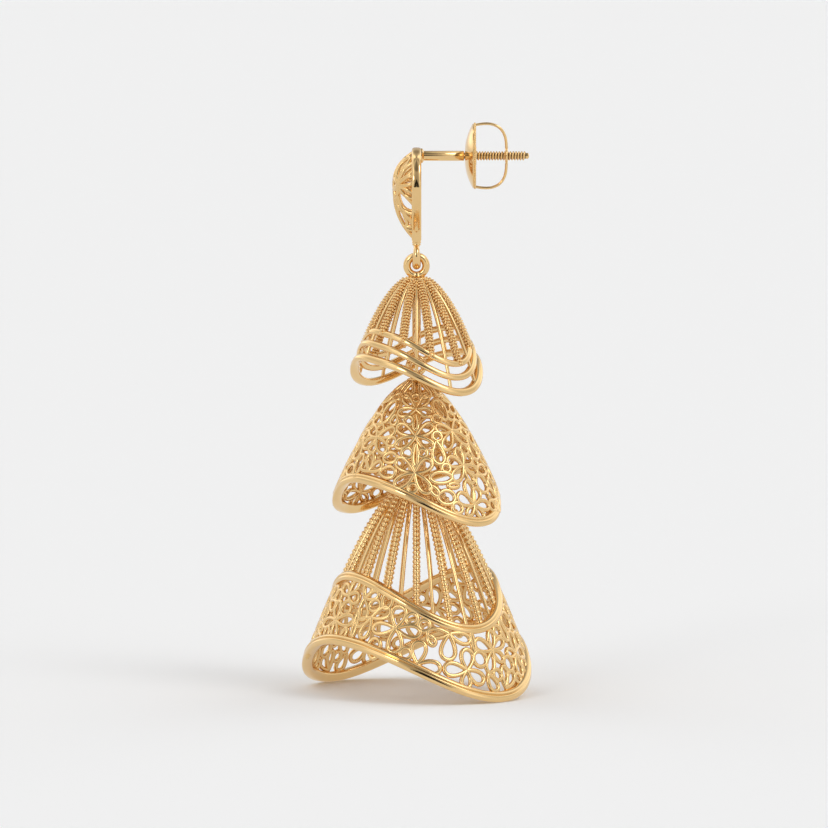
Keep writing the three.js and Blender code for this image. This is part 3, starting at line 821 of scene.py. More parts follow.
# %% The skirt's wall
SKIRT_FLOWERS = [
    ((-12.5, -46.3), [(-10.7, -44.2, 1.5), (2.3, -46.75, 1.25), (-12.4, -48.65, 1.45), (-27, -46.4, 1.15)]),
    ((0.5, -49.7), [(1.8, -47.55, 1.45), (12.4, -50.25, 1.25)]),
    ((19.5, -46.9), [(16.8, -49.35, 1.5), (32, -47.65, 1.1), (6.3, -46.75, 1.0)]),
    ((27, -50.45), [(29.3, -48.45, 1.35), (14.5, -50.2, 1.35), (35.3, -51.65, 1.3), (24.8, -52.1, 1.0)]),
    ((46, -48.75), [(35, -47.85, 1.3), (49.3, -46.9, 0.9), (57.8, -47.9, 0.9), (52.8, -49.85, 1.0),
                    (40.3, -50.8, 1.0)]),
    ((49.2, -52.5), [(51.3, -50.4, 0.9), (58, -51.1, 1.0)]),
    ((66.5, -49.4), [(69, -47.3, 1.25), (80, -49.6, 1.25), (65, -51.6, 1.25), (58, -49.2, 0.9)]),
    ((86, -47.2), [(86, -45.0, 1.3), (99, -46.9, 1.2), (85, -49.4, 1.3), (74, -46.8, 1.2)]),
    ((-58.5, -46.0), [(-42.3, -45.8, 1.15), (-63, -44.2, 1.1), (-73, -46.6, 1.0), (-55.5, -47.6, 0.9)]),
    ((-53.5, -43.5), [(-43, -43.8, 1.15), (-64, -42.7, 1.0), (-48, -41.9, 1.0)]),
    ((-38, -43.6), [(-36, -41.9, 1.2), (-35.5, -45.7, 1.15), (-27.5, -43.1, 0.9)]),
    ((-29.5, -45.4), [(-17, -44.6, 1.15), (-33.5, -47.4, 1.0), (-40, -46.2, 0.8)]),
    ((-76, -44.4), [(-75, -42.9, 1.2), (-66, -44.9, 1.1), (-87, -44.6, 1.2), (-77, -46.4, 1.1)]),
    ((-81, -48.2), [(-82, -46.5, 1.2), (-70.5, -48.1, 1.2), (-92.5, -48.3, 1.2)]),
]
# Single loops: root, tip, width, and how round the root is.
SKIRT_LOOPS = [
    ((-24, -49.3), (-24.6, -47.35), 1.35, 0.5),
    ((-20, -42.9), (-20.2, -44.5), 1.1, 0.8),
    ((39.3, -50.95), (42.4, -52.65), 1.1, 0.1),
    ((33.6, -46.8), (33.8, -48.8), 0.35, 0.8),
    ((-39.5, -44.6), (-40.5, -47.4), 0.45, 0.8),
    ((-49, -47.9), (-46, -46.6), 0.6, 0.8),
    ((7, -47.0), (10, -47.9), 0.7, 0.6),
    ((72, -51.6), (75, -49.9), 1.1, 0.6),
    ((92, -50.3), (93, -48.6), 1.2, 0.5),
    ((60, -46.0), (62.5, -48.1), 0.9, 0.6),
    ((-64, -47.9), (-65, -46.7), 0.9, 0.6),
]
skirt_loops, skirt_hearts = pattern(SKIRT, SKIRT_FLOWERS, SKIRT_LOOPS)
skirt_loops += gap_rings(SKIRT, skirt_loops, rim_edge("skirt_upper_rim", -1), rim_edge("skirt_lower_rim", 1),
                         widest=0.52, open_at=(10.2, -48.8))
pierced_wall("skirt_flowers", SKIRT, skirt_loops, skirt_hearts, "bottom_body", wire_radius=0.235, depth=0.27)

# %% [markdown]
# Round parts on the bells' axis, such as rods, collars and crowns, are turned on a lathe. In
# Blender that is a profile spun about an axis: here, plain mesh code with a ring of vertices for
# each profile point, and poles where the radius is zero. Parts that are soldered together are
# joined in one mesh.

# %% Turned parts
LATHE_STEPS = 40
AXIS_Y = BELL_AXIS_Y / MM


def turned_mesh(name, profile, material=POLISHED, along="Y"):
    """A closed solid spun from (radius, height) points, listed from the low end to the high end.
    Along Z it stands on the bells' axis, and along Y it lies on the post's."""
    vertices, rings, faces = [], [], []
    for radius, height in profile:
        ring = []
        for step in range(LATHE_STEPS if radius > 0 else 1):
            angle = 2 * math.pi * step / LATHE_STEPS
            a, b = radius * math.cos(angle), radius * math.sin(angle)
            place = (a, b + AXIS_Y, height) if along == "Z" else (a, height, -b)
            ring.append(len(vertices))
            vertices.append([value * MM for value in place])
        rings.append(ring)
    for low, high in zip(rings, rings[1:]):
        for step in range(LATHE_STEPS):
            after = (step + 1) % LATHE_STEPS
            face = [low[step % len(low)], low[after % len(low)], high[after % len(high)], high[step % len(high)]]
            faces.append(list(dict.fromkeys(face)))
    mesh = new_mesh(name, vertices, faces, material)
    mesh.validate()
    return new_piece(name, mesh)


def join(name, *parts):
    """Several objects' meshes as one new object, with the first one's material."""
    vertices, faces, material = [], [], parts[0].data.materials[0]
    for part in parts:
        start = len(vertices)
        vertices += [vertex.co.copy() for vertex in part.data.vertices]
        faces += [[start + index for index in polygon.vertices] for polygon in part.data.polygons]
        bpy.data.objects.remove(part)
    return new_piece(name, new_mesh(name, vertices, faces, material))


print("turned parts have", LATHE_STEPS, "sides")

# %% [markdown]
# Rings and eyes are round wire bent into a circle, the standard torus. The eye of the upper piece
# is seen edge on and the ring of the lower piece hangs in it, so one lies across the other. The
# pivots are the joints of the frame.

# %% Links
# Sizes as in the solids: radius of the eye and its wire, radius of the ring and its wire.
LINKS = {joint: dict(zip(("eye", "eye_wire", "ring", "ring_wire"), row)) for joint, row in {
    "drop_swing": (0.87, 0.29, 0.95, 0.38),
    "middle_swing": (0.74, 0.24, 0.80, 0.28),
    "bottom_swing": (0.66, 0.20, 0.70, 0.24),
}.items()}
LINK_GAP = 0.12
FOOT_DROP = 0.24  # how far the foot of a swelling eye hangs lower, at a swell of 1


def torus(radius, wire, z, tipped_about):
    """A torus on the bells' axis that is tipped on edge about X or Y."""
    bpy.ops.mesh.primitive_torus_add(major_segments=48, minor_segments=16, major_radius=radius * MM,
                                     minor_radius=wire * MM)
    piece = bpy.context.object
    turn = Matrix.Rotation(math.radians(90), 4, tipped_about)
    piece.data.transform(Matrix.Translation((0, BELL_AXIS_Y, z * MM)) @ turn)
    piece.data.materials.append(POLISHED)
    return piece


def pivot_height(joint):
    return joints[joint]["pos_m"][2] / MM


def eye_top(joint):
    return pivot_height(joint) + 2 * LINKS[joint]["eye"]


def ring_height(joint):
    link = LINKS[joint]
    return pivot_height(joint) - (link["ring"] - link["ring_wire"] - link["eye_wire"] - LINK_GAP)


def ring_foot(joint):
    return ring_height(joint) - LINKS[joint]["ring"]


def eye(joint, swell=0.0):
    """An eye whose wire thickens towards its foot, where the ring hangs, by swell and a little lower."""
    radius = LINKS[joint]["eye"]
    piece = torus(radius, LINKS[joint]["eye_wire"], pivot_height(joint) + radius, "X")
    for vertex in piece.data.vertices:
        x, z = vertex.co.x / MM, vertex.co.z / MM - eye_top(joint) + radius
        around = math.atan2(z, x)
        core = Vector((radius * math.cos(around), 0, radius * math.sin(around)))
        share = (1 - math.sin(around)) / 2
        out = Vector((x, (vertex.co.y - BELL_AXIS_Y) / MM, z)) - core
        place = core + out * (1 + swell * share)
        vertex.co = (place.x * MM, place.y * MM + BELL_AXIS_Y,
                     (place.z + eye_top(joint) - radius - FOOT_DROP * swell * share ** 4) * MM)
    return piece


def ring(joint):
    return torus(LINKS[joint]["ring"], LINKS[joint]["ring_wire"], ring_height(joint), "Y")


def rod(radius, low, high, ends=0.06):
    """A round rod on the bells' axis with softened ends."""
    profile = [(0, low), (radius - ends, low), (radius, low + ends), (radius, high - ends), (radius - ends, high),
               (0, high)]
    return turned_mesh("rod", profile, along="Z")


def crown(bell, depth, wall):
    """A small cap that closes the top of a bell, its face on the flare."""
    outer = [(flare(bell, bell["crown"] - d), bell["crown"] - d) for d in [depth * (k / 5) ** 2 for k in range(6)]]
    outer[0] = (0, bell["crown"])
    inner = [(max(r - wall, 0), z - wall * 0.4) for r, z in outer]
    inner[0] = (0, bell["crown"] - wall)
    return turned_mesh("crown", [*inner, *outer[::-1]], along="Z")


print("eyes and rings for", list(LINKS))

# %% [markdown]
# Down the middle of each bell runs its hanging: the ring at the top, a rod or collar, the crown,
# and a rod that ends in the eye for the next bell.

# %% Rings, rods and crowns
collar_top = ring_foot("drop_swing") + LINKS["drop_swing"]["ring_wire"] - 0.06
collar_foot = TOP_BELL["crown"] - 0.35
# Radius and height above the foot.
COLLAR = [(0, 0), (0.62, 0), (0.62, 0.12), (0.46, 0.17), (0.58, 0.24), (0.58, 0.34), (0.44, 0.40), (0.52, 0.50)]
collar = [(radius, collar_foot + up) for radius, up in COLLAR] + [(0.42, collar_top), (0, collar_top)]
dress(join("top_ring_and_rod", ring("drop_swing"), turned_mesh("collar", collar, along="Z"),
           crown(TOP_BELL, 0.35, 0.3),
           rod(0.435, eye_top("middle_swing") - LINKS["middle_swing"]["eye_wire"], TOP_BELL["crown"] - 0.1),
           eye("middle_swing")), "top_body")
dress(join("middle_ring_and_rod", ring("middle_swing"),
           rod(0.23, MIDDLE_BELL["crown"] - 0.3, ring_foot("middle_swing") + 0.1), crown(MIDDLE_BELL, 0.3, 0.25),
           rod(0.2, eye_top("bottom_swing") - LINKS["bottom_swing"]["eye_wire"], MIDDLE_BELL["crown"] - 0.1),
           eye("bottom_swing")), "middle_body")
dress(join("bottom_ring_and_crown", ring("bottom_swing"),
           rod(0.23, BOTTOM_BELL["crown"] - 0.4, ring_foot("bottom_swing") + 0.1), crown(BOTTOM_BELL, 0.5, 0.4)),
      "bottom_body")

# %% [markdown]
# The stud's frame is a drop cut from thick plate: a round top, straight sides and a narrow foot.
# Its section has rounded corners, and its edge is crowned round the top and at the foot but flat
# along the sides. Going round the outline with that section gives the whole frame as one grid of
# faces, because the outline has the same number of points however far it is set in.

# %% The stud's frame
STUD = {"depth": 0.96, "shoulder": -2.85, "half_width": 3.7, "tail": -8.6, "tail_half_width": 0.62, "band": 1.1,
        "bevel": 0.17, "foot": 1.2, "crowned": 0.09}
ARCH_STEPS = 48


def stud_outline(inset):
    radius = STUD["half_width"] - inset
    tail_half = STUD["tail_half_width"] - inset * 0.45
    points = [(tail_half, STUD["tail"] + inset), (tail_half, STUD["tail"] + STUD["foot"] + inset * 0.3)]
    for step in range(ARCH_STEPS + 1):
        angle = math.pi * step / ARCH_STEPS
        points.append((radius * math.cos(angle), STUD["shoulder"] + radius * math.sin(angle)))
    return points + [(-x, z) for x, z in points[1::-1]]


def frame_section():
    """Points round the frame's section: how far in from the outer edge, the y, and the crown there."""
    half, bevel = STUD["depth"] / 2, STUD["bevel"]
    edge = [(bevel * (1 - math.sin(a)), half - bevel * (1 - math.cos(a)))
            for a in [math.radians(18 * k) for k in range(6)]]
    edge += [(0, (half - bevel) * (1 - k / 4)) for k in range(1, 5)]
    edge += [(inset, -y) for inset, y in edge[-2::-1]]
    outer = [(inset, y, STUD["crowned"] * (y / half) ** 2) for inset, y in edge]
    return outer + [(STUD["band"] - inset, -y, 0) for inset, y in edge]


def stud_frame():
    rows = [(stud_outline(inset), stud_outline(inset + crowned), y) for inset, y, crowned in frame_section()]
    count, around = len(rows[0][0]), len(rows)
    vertices = []
    for place in range(count):
        crowned_here = 2 < place < ARCH_STEPS + 2 or place in (0, 1, count - 2, count - 1)
        for plain, crowned, y in rows:
            x, z = (crowned if crowned_here else plain)[place]
            vertices.append((x * MM, y * MM + BELL_AXIS_Y, z * MM))
    faces = [(place * around + k, place * around + (k + 1) % around, (place + 1) % count * around + (k + 1) % around,
              (place + 1) % count * around + k) for place in range(count) for k in range(around)]
    return new_piece("stud_frame", new_mesh("stud_frame", vertices, faces, POLISHED))


dress(stud_frame(), "stud_body", "stud", sharp=24)

# %% [markdown]
# The stud's front swells out of the frame and is pierced like the bells. Its wires are drawn on the
# swelling face with the same petals, bent by the dome's own rule, and swept by one small tree.

# %% The dome of the stud
# How far it swells, its middle and the power of its curve; how far it reaches in under the frame,
# more at the foot; and the share of the way to its edge where wires stop.
DOME = {"rise": 1.72, "centre": -2.9, "power": 2.6, "reach": 0.75, "foot_reach": 0.2, "hold": 0.86}


def dome_share(x, z):
    """How far (x, z) is from the dome's middle, as a share of the way to the dome's edge."""
    edge = [(x, z if z > -6 else z - DOME["foot_reach"]) for x, z in stud_outline(STUD["band"] - DOME["reach"])]
    middle = DOME["centre"]
    angle = math.atan2(z - middle, x)
    nearest = math.inf
    for (x0, z0), (x1, z1) in zip(edge, edge[1:] + edge[:1]):
        dx, dz = x1 - x0, z1 - z0
        cross = math.cos(angle) * dz - math.sin(angle) * dx
        if abs(cross) < 1e-9:
            continue
        distance = (x0 * dz - (z0 - middle) * dx) / cross
        along = (math.cos(angle) * (middle - z0) + math.sin(angle) * x0) / cross
        if distance > 0 and -1e-6 <= along <= 1 + 1e-6:
            nearest = min(nearest, distance)
    return math.hypot(x, z - middle) / nearest


def dome_point(x, z):
    share = dome_share(x, z)
    front = STUD["depth"] / 2 + (STUD["depth"] / 2 + DOME["rise"]) * (1 - min(share, 1) ** DOME["power"])
    # Wire ends that reach the frame are drawn in, so that they end inside it.
    drawn_in = min(1, DOME["hold"] / share) if share > 0 else 1
    return (x * drawn_in * MM, -front * MM, z * MM)


def dome_petal(x, z, aim, length, width, bend=0.0):
    points = []
    a = math.radians(aim)
    for share, aside in petal_shape(width):
        along, across = length * share, aside + bend * share ** 2
        points.append(dome_point(x + along * math.cos(a) - across * math.sin(a),
                                 z + along * math.sin(a) + across * math.cos(a)))
    return points


print("dome stands out", round(-dome_point(0, DOME["centre"])[1] / MM, 2), "mm")

# %% [markdown]
# One half of the front is listed and mirrored. The petals on the middle line stand by themselves,
# and a stem runs up it.

# %% The stud's flowers
# Columns: the root's x and z, aim in degrees, length, width, and how far the tip bends aside.
DOME_PETALS = [
    (1.75, -2.8, 103, 2.8, 1.10, 0.15),
    (1.75, -2.8, 68, 2.5, 0.95, 0.1),
    (1.75, -2.8, 28, 1.7, 0.80),
    (1.75, -2.8, 261, 2.9, 1.15),
    (1.75, -2.8, 178, 1.6, 1.10),
    (1.75, -2.8, 308, 1.5, 0.80),
    (1.75, -2.8, 220, 2.0, 0.80),
    (0.80, -5.4, 262, 2.1, 0.45),
    (0.45, -4.9, 268, 2.2, 0.70),
]
DOME_MIDDLE_PETALS = [(0, -2.8, 90, 2.6, 1.2), (0, -2.8, 270, 2.2, 1.2)]
STEM = {"low": -8.4, "length": 8.85, "points": 41, "half_gap": 0.12}
DOME_WIRE = 0.22  # radius in mm


def bent_wire_tree():
    tree = group("stud wires", {"Geometry": "Geometry", "Wire Radius": 0.0002, "Sides": 10, "Material": "Material"})
    return tree.close(swept(tree, tree["Geometry"], tree["Wire Radius"], tree["Sides"]))


BENT_WIRE_TREE = bent_wire_tree()
stud_paths = [dome_petal(*row) for row in DOME_MIDDLE_PETALS]
# A stem up the middle line and back down beside it, as one closed wire.
stem = [STEM["low"] + STEM["length"] * k / (STEM["points"] - 1) for k in range(STEM["points"])]
stud_paths.append([dome_point(STEM["half_gap"], z) for z in stem] + [dome_point(-STEM["half_gap"], z)
                                                                     for z in stem[::-1]])
for row in DOME_PETALS:
    stud_paths += [dome_petal(*row), [(-x, y, z) for x, y, z in dome_petal(*row)]]
dress(run_tree("stud_flowers", BENT_WIRE_TREE, {"Wire Radius": DOME_WIRE * MM, "Material": TUMBLED},
               new_curve("stud_petals", stud_paths)), "stud_body")

# %% [markdown]
# The post is a plain shank that steps down to a thread. A thread is a ridge that follows a helix,
# so a spiral curve swept with a small round section, half sunk in a core, is enough at this size.
# Polishing never reaches the bottom of a thread, and it stays dark there. The material measures how
# The bottom of the thread gets painted shade: the material measures how far a point is from the
# post's middle line, and mixes in a deep brown below the ridge's flanks.

# %% The post
POST = {"pad": 0.75, "pad_end": 0.26, "shank": 0.5, "thread_start": 4.26, "core": 0.30, "crest": 0.47, "pitch": 0.28,
        "ridge": 0.10, "tip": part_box("stud")[1].y / MM}
# Painted shade in the valleys: its brown, and the radius and the distance from the tip over which it fades, in mm.
PAINTED_THREAD_SHADE = {"colour": (0.34, 0.19, 0.07, 1), "radius": (0.37, 0.43), "from_tip": (0.36, 0.30)}


def thread_tree():
    tree = group("thread", {"Turns": 20.0, "Helix Radius": 0.0004, "Length": 0.006, "Start": 0.004,
                            "Ridge Radius": 0.0001, "Material": "Material"})
    helix = tree.add("GeometryNodeCurveSpiral", Resolution=28, Rotations=tree["Turns"],
                     Start_Radius=tree["Helix Radius"], End_Radius=tree["Helix Radius"], Height=tree["Length"])
    ridge = swept(tree, helix, tree["Ridge Radius"], 8)
    move = tree.add("ShaderNodeCombineXYZ", Y=tree["Start"])
    return tree.close(tree.add("GeometryNodeTransform", Geometry=ridge, Translation=move,
                               Rotation=(math.radians(-90), 0, 0)))


def gold_with_painted_thread_shade():
    """Polished gold with painted shade, a deep brown, in the thread's valleys."""
    material = gold("threaded gold", **FULL_POLISH)
    tree = Tree(material.node_tree)
    shader = tree.data.nodes["Principled BSDF"]
    gold_colour = Value(tree, shader.inputs["Base Color"].links[0].from_socket)
    place = tree.add("ShaderNodeSeparateXYZ", tree.add("ShaderNodeTexCoord")["Object"])
    across = tree.add("ShaderNodeCombineXYZ", X=place["X"], Z=place["Z"])
    radius = tree.add("ShaderNodeVectorMath", across, operation="LENGTH")["Value"]
    near_tip = [POST["tip"] - away for away in PAINTED_THREAD_SHADE["from_tip"]]
    fades = [tree.add("ShaderNodeMapRange", Value=value, From_Min=start * MM, From_Max=end * MM)
             for value, (start, end) in ((radius, PAINTED_THREAD_SHADE["radius"]), (place["Y"], near_tip))]
    # Painted shade: the brown is mixed in below the ridge's flanks, away from the tip.
    colour = tree.add("ShaderNodeMix", data_type="RGBA", Factor=calc("MAXIMUM", *fades), A=PAINTED_THREAD_SHADE["colour"],
                      B=gold_colour)
    tree.fill(shader, Base_Color=colour["Result"])
    return material


thread_length = POST["tip"] - POST["thread_start"] - 0.45
thread_ridge = run_tree("ridge", thread_tree(), {
    "Turns": thread_length / POST["pitch"],
    "Helix Radius": (POST["crest"] - POST["ridge"]) * MM,
    "Length": thread_length * MM,
    "Start": (POST["thread_start"] + 0.1) * MM,
    "Ridge Radius": POST["ridge"] * MM,
    "Material": POLISHED,
})
post_profile = [(0, -0.2), (POST["pad"], -0.2), (POST["pad"], 0.1), (0.6, POST["pad_end"] * 0.8),
                (POST["shank"], POST["pad_end"]), (POST["shank"], POST["thread_start"] - 0.05),
                (POST["shank"] - 0.05, POST["thread_start"]), (POST["core"], POST["thread_start"]),
                (POST["core"], POST["tip"] - 0.30), (0.30, POST["tip"] - 0.12), (0.18, POST["tip"] - 0.02),
                (0, POST["tip"])]
dress(join("post", turned_mesh("shank", post_profile, gold_with_painted_thread_shade()), thread_ridge), "stud_body", sharp=50)

# %% [markdown]
# Under the frame's foot hang two fine collar rings, a short neck and the eye that carries the drop.

# %% The hanging eye
foot, neck_foot = STUD["tail"], eye_top("drop_swing") - 0.2
neck = [(0, neck_foot), (0.30, neck_foot), (0.32, foot - 0.40), (0.42, foot - 0.34), (0.44, foot - 0.26),
        (0.36, foot - 0.20), (0.46, foot - 0.12), (0.46, foot), (0.34, foot + 0.08), (0.34, foot + 0.3),
        (0, foot + 0.3)]
dress(join("hanging_eye", turned_mesh("neck", neck, along="Z"), eye("drop_swing", 0.52)), "stud_body")

# %% [markdown]
# The screw back is a thin dome with its crown against the ear, a bush for the thread, a fine
# milled edge, and two loops of wire at the back that meet in a collar round the post. The milled
# edge repeats round the rim, so it is beads set on a circle by a tree.

# %% The screw back's plate
BACK = {"front": 4.34, "rim": 5.12, "radius": 3.30, "wall": 0.30, "bush": 0.95, "bore": 0.46, "bush_end": 5.5}
PLATE_ROWS = 16
EDGE_BEADS, EDGE_BEAD = 96, 0.125  # their number, and the radius of one in mm


def screw_plate():
    outer, inner = [], []
    for row in range(PLATE_ROWS + 1):
        share = row / PLATE_ROWS
        radius = BACK["bore"] + (BACK["radius"] - 0.08 - BACK["bore"]) * share
        y = BACK["front"] + (BACK["rim"] - BACK["front"]) * share ** 2
        outer.append((radius, y))
        inner.append((radius - (0.06 if row == PLATE_ROWS else 0), y + BACK["wall"]))
    return turned_mesh("plate", [*outer, *inner[::-1], outer[0]])


def milled_edge_tree():
    tree = group("milled edge", {"Count": 90, "Radius": 0.003, "Bead Radius": 0.0001, "Y": 0.005,
                                 "Material": "Material"})
    circle = tree.add("GeometryNodeMeshCircle", Vertices=tree["Count"], Radius=tree["Radius"])
    bead = tree.add("GeometryNodeMeshIcoSphere", Subdivisions=2, Radius=tree["Bead Radius"])
    ring_of_beads = tree.add("GeometryNodeInstanceOnPoints", Points=circle, Instance=bead)
    move = tree.add("ShaderNodeCombineXYZ", Y=tree["Y"])
    return tree.close(tree.add("GeometryNodeTransform", Geometry=ring_of_beads, Translation=move,
                               Rotation=(math.radians(90), 0, 0)))


bush_front = BACK["front"] + 0.05
bush_profile = [(BACK["bore"], bush_front), (BACK["bush"], bush_front), (BACK["bush"], BACK["bush_end"] - 0.05),
                (BACK["bush"] - 0.05, BACK["bush_end"]), (BACK["bore"], BACK["bush_end"]), (BACK["bore"], bush_front)]
dress(join("screw_plate", screw_plate(), turned_mesh("bush", bush_profile)), "screw_back_body", "screw_back", sharp=40)
dress(run_tree("milled_edge", milled_edge_tree(), {
    "Count": EDGE_BEADS,
    "Radius": (BACK["radius"] - 0.1) * MM,
    "Bead Radius": EDGE_BEAD * MM,
    "Y": (BACK["rim"] + BACK["wall"] * 0.75) * MM,
    "Material": TUMBLED,
}), "screw_back_body")

# %% [markdown]
# Each wire loop is a smooth path through a few points, mirrored for the other side. The collar is
# the same wire bent into a ring.

# %% The screw back's loops
LOOP = {"wire": 0.14, "collar_radius": 0.68, "collar_y": 8.5, "collar_points": 36}
LOOP_PATH = [(5.25, 3.06), (5.9, 3.18), (6.6, 3.22), (7.2, 3.12), (7.75, 2.85), (8.15, 2.4), (8.38, 1.85), (8.47, 1.3),
             (8.5, 0.72)]


def smooth_path(points, steps=8):
    """A Catmull-Rom path through points."""
    padded = [points[0], *points, points[-1]]
    path = []
    for a, b, c, d in zip(padded, padded[1:], padded[2:], padded[3:]):
        for step in range(steps):
            t = step / steps
            path.append(tuple(
                0.5 * (2 * q + (r - p) * t + (2 * p - 5 * q + 4 * r - s) * t * t + (3 * q - p - 3 * r + s) * t ** 3)
                for p, q, r, s in zip(a, b, c, d)))
    return [*path, points[-1]]


def loop_wire(name, paths, cyclic):
    return run_tree(name, BENT_WIRE_TREE, {"Wire Radius": LOOP["wire"] * MM, "Sides": 12, "Material": POLISHED},
                    new_curve(name, paths, cyclic))


loop_paths = [[(0, y * MM, side * z * MM) for y, z in smooth_path(LOOP_PATH)] for side in (1, -1)]
angles = [2 * math.pi * k / LOOP["collar_points"] for k in range(LOOP["collar_points"])]
collar_path = [(LOOP["collar_radius"] * math.cos(a) * MM, LOOP["collar_y"] * MM,
                LOOP["collar_radius"] * math.sin(a) * MM) for a in angles]
dress(join("screw_loops", loop_wire("loop", loop_paths, False), loop_wire("collar", [collar_path], True)),
      "screw_back_body")

# %% [markdown]
# The stage is a plain pale floor, far larger than the earring, so that it fills the view. The
# earring's lowest rim just touches it, which gives the soft contact shadow. For reflections alone
# the floor is half paper and half a steady glow, because the earring's own shadow would darken the
# undersides of the rims too much.

# %% Floor
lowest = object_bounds()[0].z
HALF_FLOOR = 6.0  # in metres
PAPER, GLOW = (0.935, 0.935, 0.935, 1), (0.80, 0.80, 0.80, 1)
GLOW_SHARE = 0.5


def pale_floor():
    material = bpy.data.materials.new("pale paper")
    material.use_nodes = True
    tree = Tree(material.node_tree)
    shader = tree.data.nodes["Principled BSDF"]
    tree.fill(shader, Base_Color=PAPER, Roughness=1.0, Specular_IOR_Level=0.0)
    share = tree.add("ShaderNodeLightPath")["Is Glossy Ray"] * GLOW_SHARE
    glow = tree.add("ShaderNodeEmission", Color=GLOW)
    mixed = tree.add("ShaderNodeMixShader", share, Value(tree, shader.outputs[0]), glow)
    tree.fill(tree.data.nodes["Material Output"], mixed)
    material.cycles.emission_sampling = "NONE"
    corners = [(x * HALF_FLOOR, y * HALF_FLOOR, lowest) for x, y in ((-1, -1), (1, -1), (1, 1), (-1, 1))]
    new_piece("floor", new_mesh("floor", corners, [(0, 1, 2, 3)], material))


pale_floor()
print("floor at", round(lowest / MM, 2), "mm")

# %% [markdown]
# Polished metal shows its surroundings more than its own colour, so all the light comes from a
# drawn room. Its walls have four tall windows, one in each corner, and two wide ones at the sides.
# High up, the wall behind the earring is darker, which browns the edges of the wires, and lower
# down a light backdrop stands straight behind it. The middle of the ceiling is dark. A small dark
# door behind the camera gives the metal its near-black accents. Soft boxes are bright spots with a
# blurred edge. A room so far off lights every part of the floor alike.

# %% The room's sizes
# Brightness of the walls at each sine of elevation, from straight down to straight up.
WALL_STEPS = [(-1.0, 0.9), (0.05, 0.9), (0.22, 0.70), (0.50, 0.80), (0.80, 1.00), (1.0, 1.15)]
WINDOWS = {"gap": 0.52, "corners": 0.92, "sides": 0.54, "sill": 0.12}
BACK_WALL = {"from": 0.15, "to": 0.75, "dim": 0.50, "low": 0.45, "high": 0.85}
BACKDROP = {"from": 0.55, "to": 0.90, "lift": 0.55}
DOOR = {"half_width": 24.0, "top": 22.0, "edge": 0.02, "dim": 0.95}
# Spots: the direction to each, its half angle and edge in degrees, and its brightness or dimming.
CEILING = {"towards": (0.30, 0.0, 0.95), "half_angle": 22, "edge": 10, "light": 0.62}
SOFT_BOXES = [
    {"towards": (0.40, 0.55, 0.72), "half_angle": 9, "edge": 5, "light": 3.4},
    {"towards": (0.80, -0.50, 0.40), "half_angle": 5, "edge": 3, "light": 5.0},
]
ROOM_STRENGTH = 0.915


def smooth_step(value, low, high, top=1.0):
    """0 below low and top above high, with a soft change between."""
    return value.tree.add("ShaderNodeMapRange", interpolation_type="SMOOTHSTEP", Value=value, From_Min=low,
                          From_Max=high, To_Min=0.0, To_Max=top)


def walls(height):
    """The walls' brightness at a sine of elevation."""
    share = height.tree.add("ShaderNodeMapRange", Value=height, From_Min=-1.0, From_Max=1.0)
    ramp = height.tree.add("ShaderNodeValToRGB", share)
    marks = ramp.socket.node.color_ramp.elements
    for place, light in WALL_STEPS[1:-1]:
        marks.new((place + 1.0) / 2.0).color = (light, light, light, 1)
    for mark, (place, light) in ((marks[0], WALL_STEPS[0]), (marks[len(marks) - 1], WALL_STEPS[-1])):
        mark.color = (light, light, light, 1)
    return ramp


def spot(place, towards, half_angle, edge, light):
    """A round spot with a blurred edge."""
    along = place.tree.add("ShaderNodeVectorMath", place, Vector(towards).normalized(), operation="DOT_PRODUCT")
    outer, inner = (math.cos(math.radians(angle)) for angle in (half_angle + edge, half_angle))
    return smooth_step(along["Value"], outer, inner, light)


print("room with", len(SOFT_BOXES), "soft boxes")

# %% [markdown]
# The room is one long product: the walls, times a share for each thing that darkens or lightens
# them, with the soft boxes added last. Each share is a sum of the direction that is looked in.

# %% Light
scene = bpy.context.scene
scene.view_settings.view_transform = "Standard"


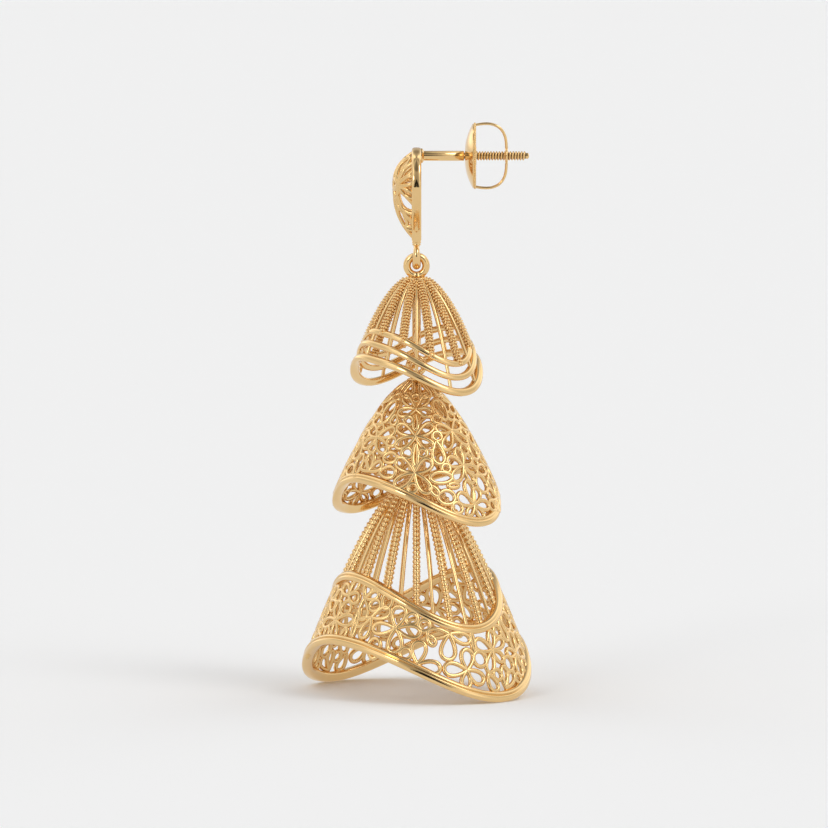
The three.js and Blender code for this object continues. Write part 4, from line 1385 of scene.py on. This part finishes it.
def drawn_room():
    world = bpy.data.worlds.new("drawn room")
    world.use_nodes = True
    tree = Tree(world.node_tree)
    place = tree.add("ShaderNodeTexCoord")["Generated"]
    split = tree.add("ShaderNodeSeparateXYZ", place)
    x, y, z = (split[axis] for axis in "XYZ")
    turn = calc("ARCTAN2", y, x)
    up = smooth_step(z, 0.0, WINDOWS["sill"])
    # The windows: narrow ones in the four corners and wide ones at the two sides, above the horizon.
    corner = calc("ABSOLUTE", calc("SINE", turn * 2.0)) ** 4.0
    side = calc("SINE", turn) ** 2.0
    window = side * WINDOWS["sides"] + (corner * WINDOWS["corners"] + (WINDOWS["gap"] - 1.0))
    room = walls(z) * (window * up + 1.0)
    # The darker wall behind.
    behind = smooth_step(x * -1.0, BACK_WALL["from"], BACK_WALL["to"], BACK_WALL["dim"])
    room = room * (1.0 - behind * smooth_step(z, BACK_WALL["low"], BACK_WALL["high"]))
    # A light backdrop straight behind, and the dark middle of the ceiling.
    backdrop = smooth_step(x * -1.0, BACKDROP["from"], BACKDROP["to"], BACKDROP["lift"])
    room = room * (backdrop * up + 1.0) * (1.0 - spot(place, **CEILING))
    # The dark door behind the camera, a triangle that stands on the horizon.
    beside = calc("ABSOLUTE", turn) / math.radians(DOOR["half_width"])
    roof = (1.0 - beside) * math.sin(math.radians(DOOR["top"]))
    door = smooth_step(roof - z, 0.0, DOOR["edge"]) * smooth_step(z, -0.01, 0.01)
    room = room * (1.0 - door * DOOR["dim"])
    for box in SOFT_BOXES:
        room = room + spot(place, **box)
    tree.fill(tree.data.nodes["Background"], Color=room, Strength=ROOM_STRENGTH)
    return world


scene.world = drawn_room()
print("the room has", len(scene.world.node_tree.nodes), "nodes")

# %% [markdown]
# The camera looks at the earring's side, from a little above, through a long lens that keeps its
# upright lines parallel.

# %% Camera
LENS, SENSOR = 600.0, 36.0
FIELD = 82.8 * MM  # width of the view at the earring
VIEW_AZIMUTH, VIEW_ELEVATION = math.radians(90), math.radians(5.75)
VIEW_CENTRE = Vector((0, -0.73 * MM, -25.9 * MM))

camera_data = bpy.data.cameras.new("camera")
camera_data.lens, camera_data.sensor_width = LENS, SENSOR
camera_data.clip_start, camera_data.clip_end = 0.01, 10
camera = new_piece("camera", camera_data)
back = Vector((math.sin(VIEW_AZIMUTH) * math.cos(VIEW_ELEVATION), -math.cos(VIEW_AZIMUTH) * math.cos(VIEW_ELEVATION),
               math.sin(VIEW_ELEVATION)))
camera.location = VIEW_CENTRE + back * FIELD * LENS / SENSOR
camera.rotation_euler = (-back).to_track_quat("-Z", "Y").to_euler()
scene.camera = camera
print("camera", round((camera.location - VIEW_CENTRE).length, 2), "m away")
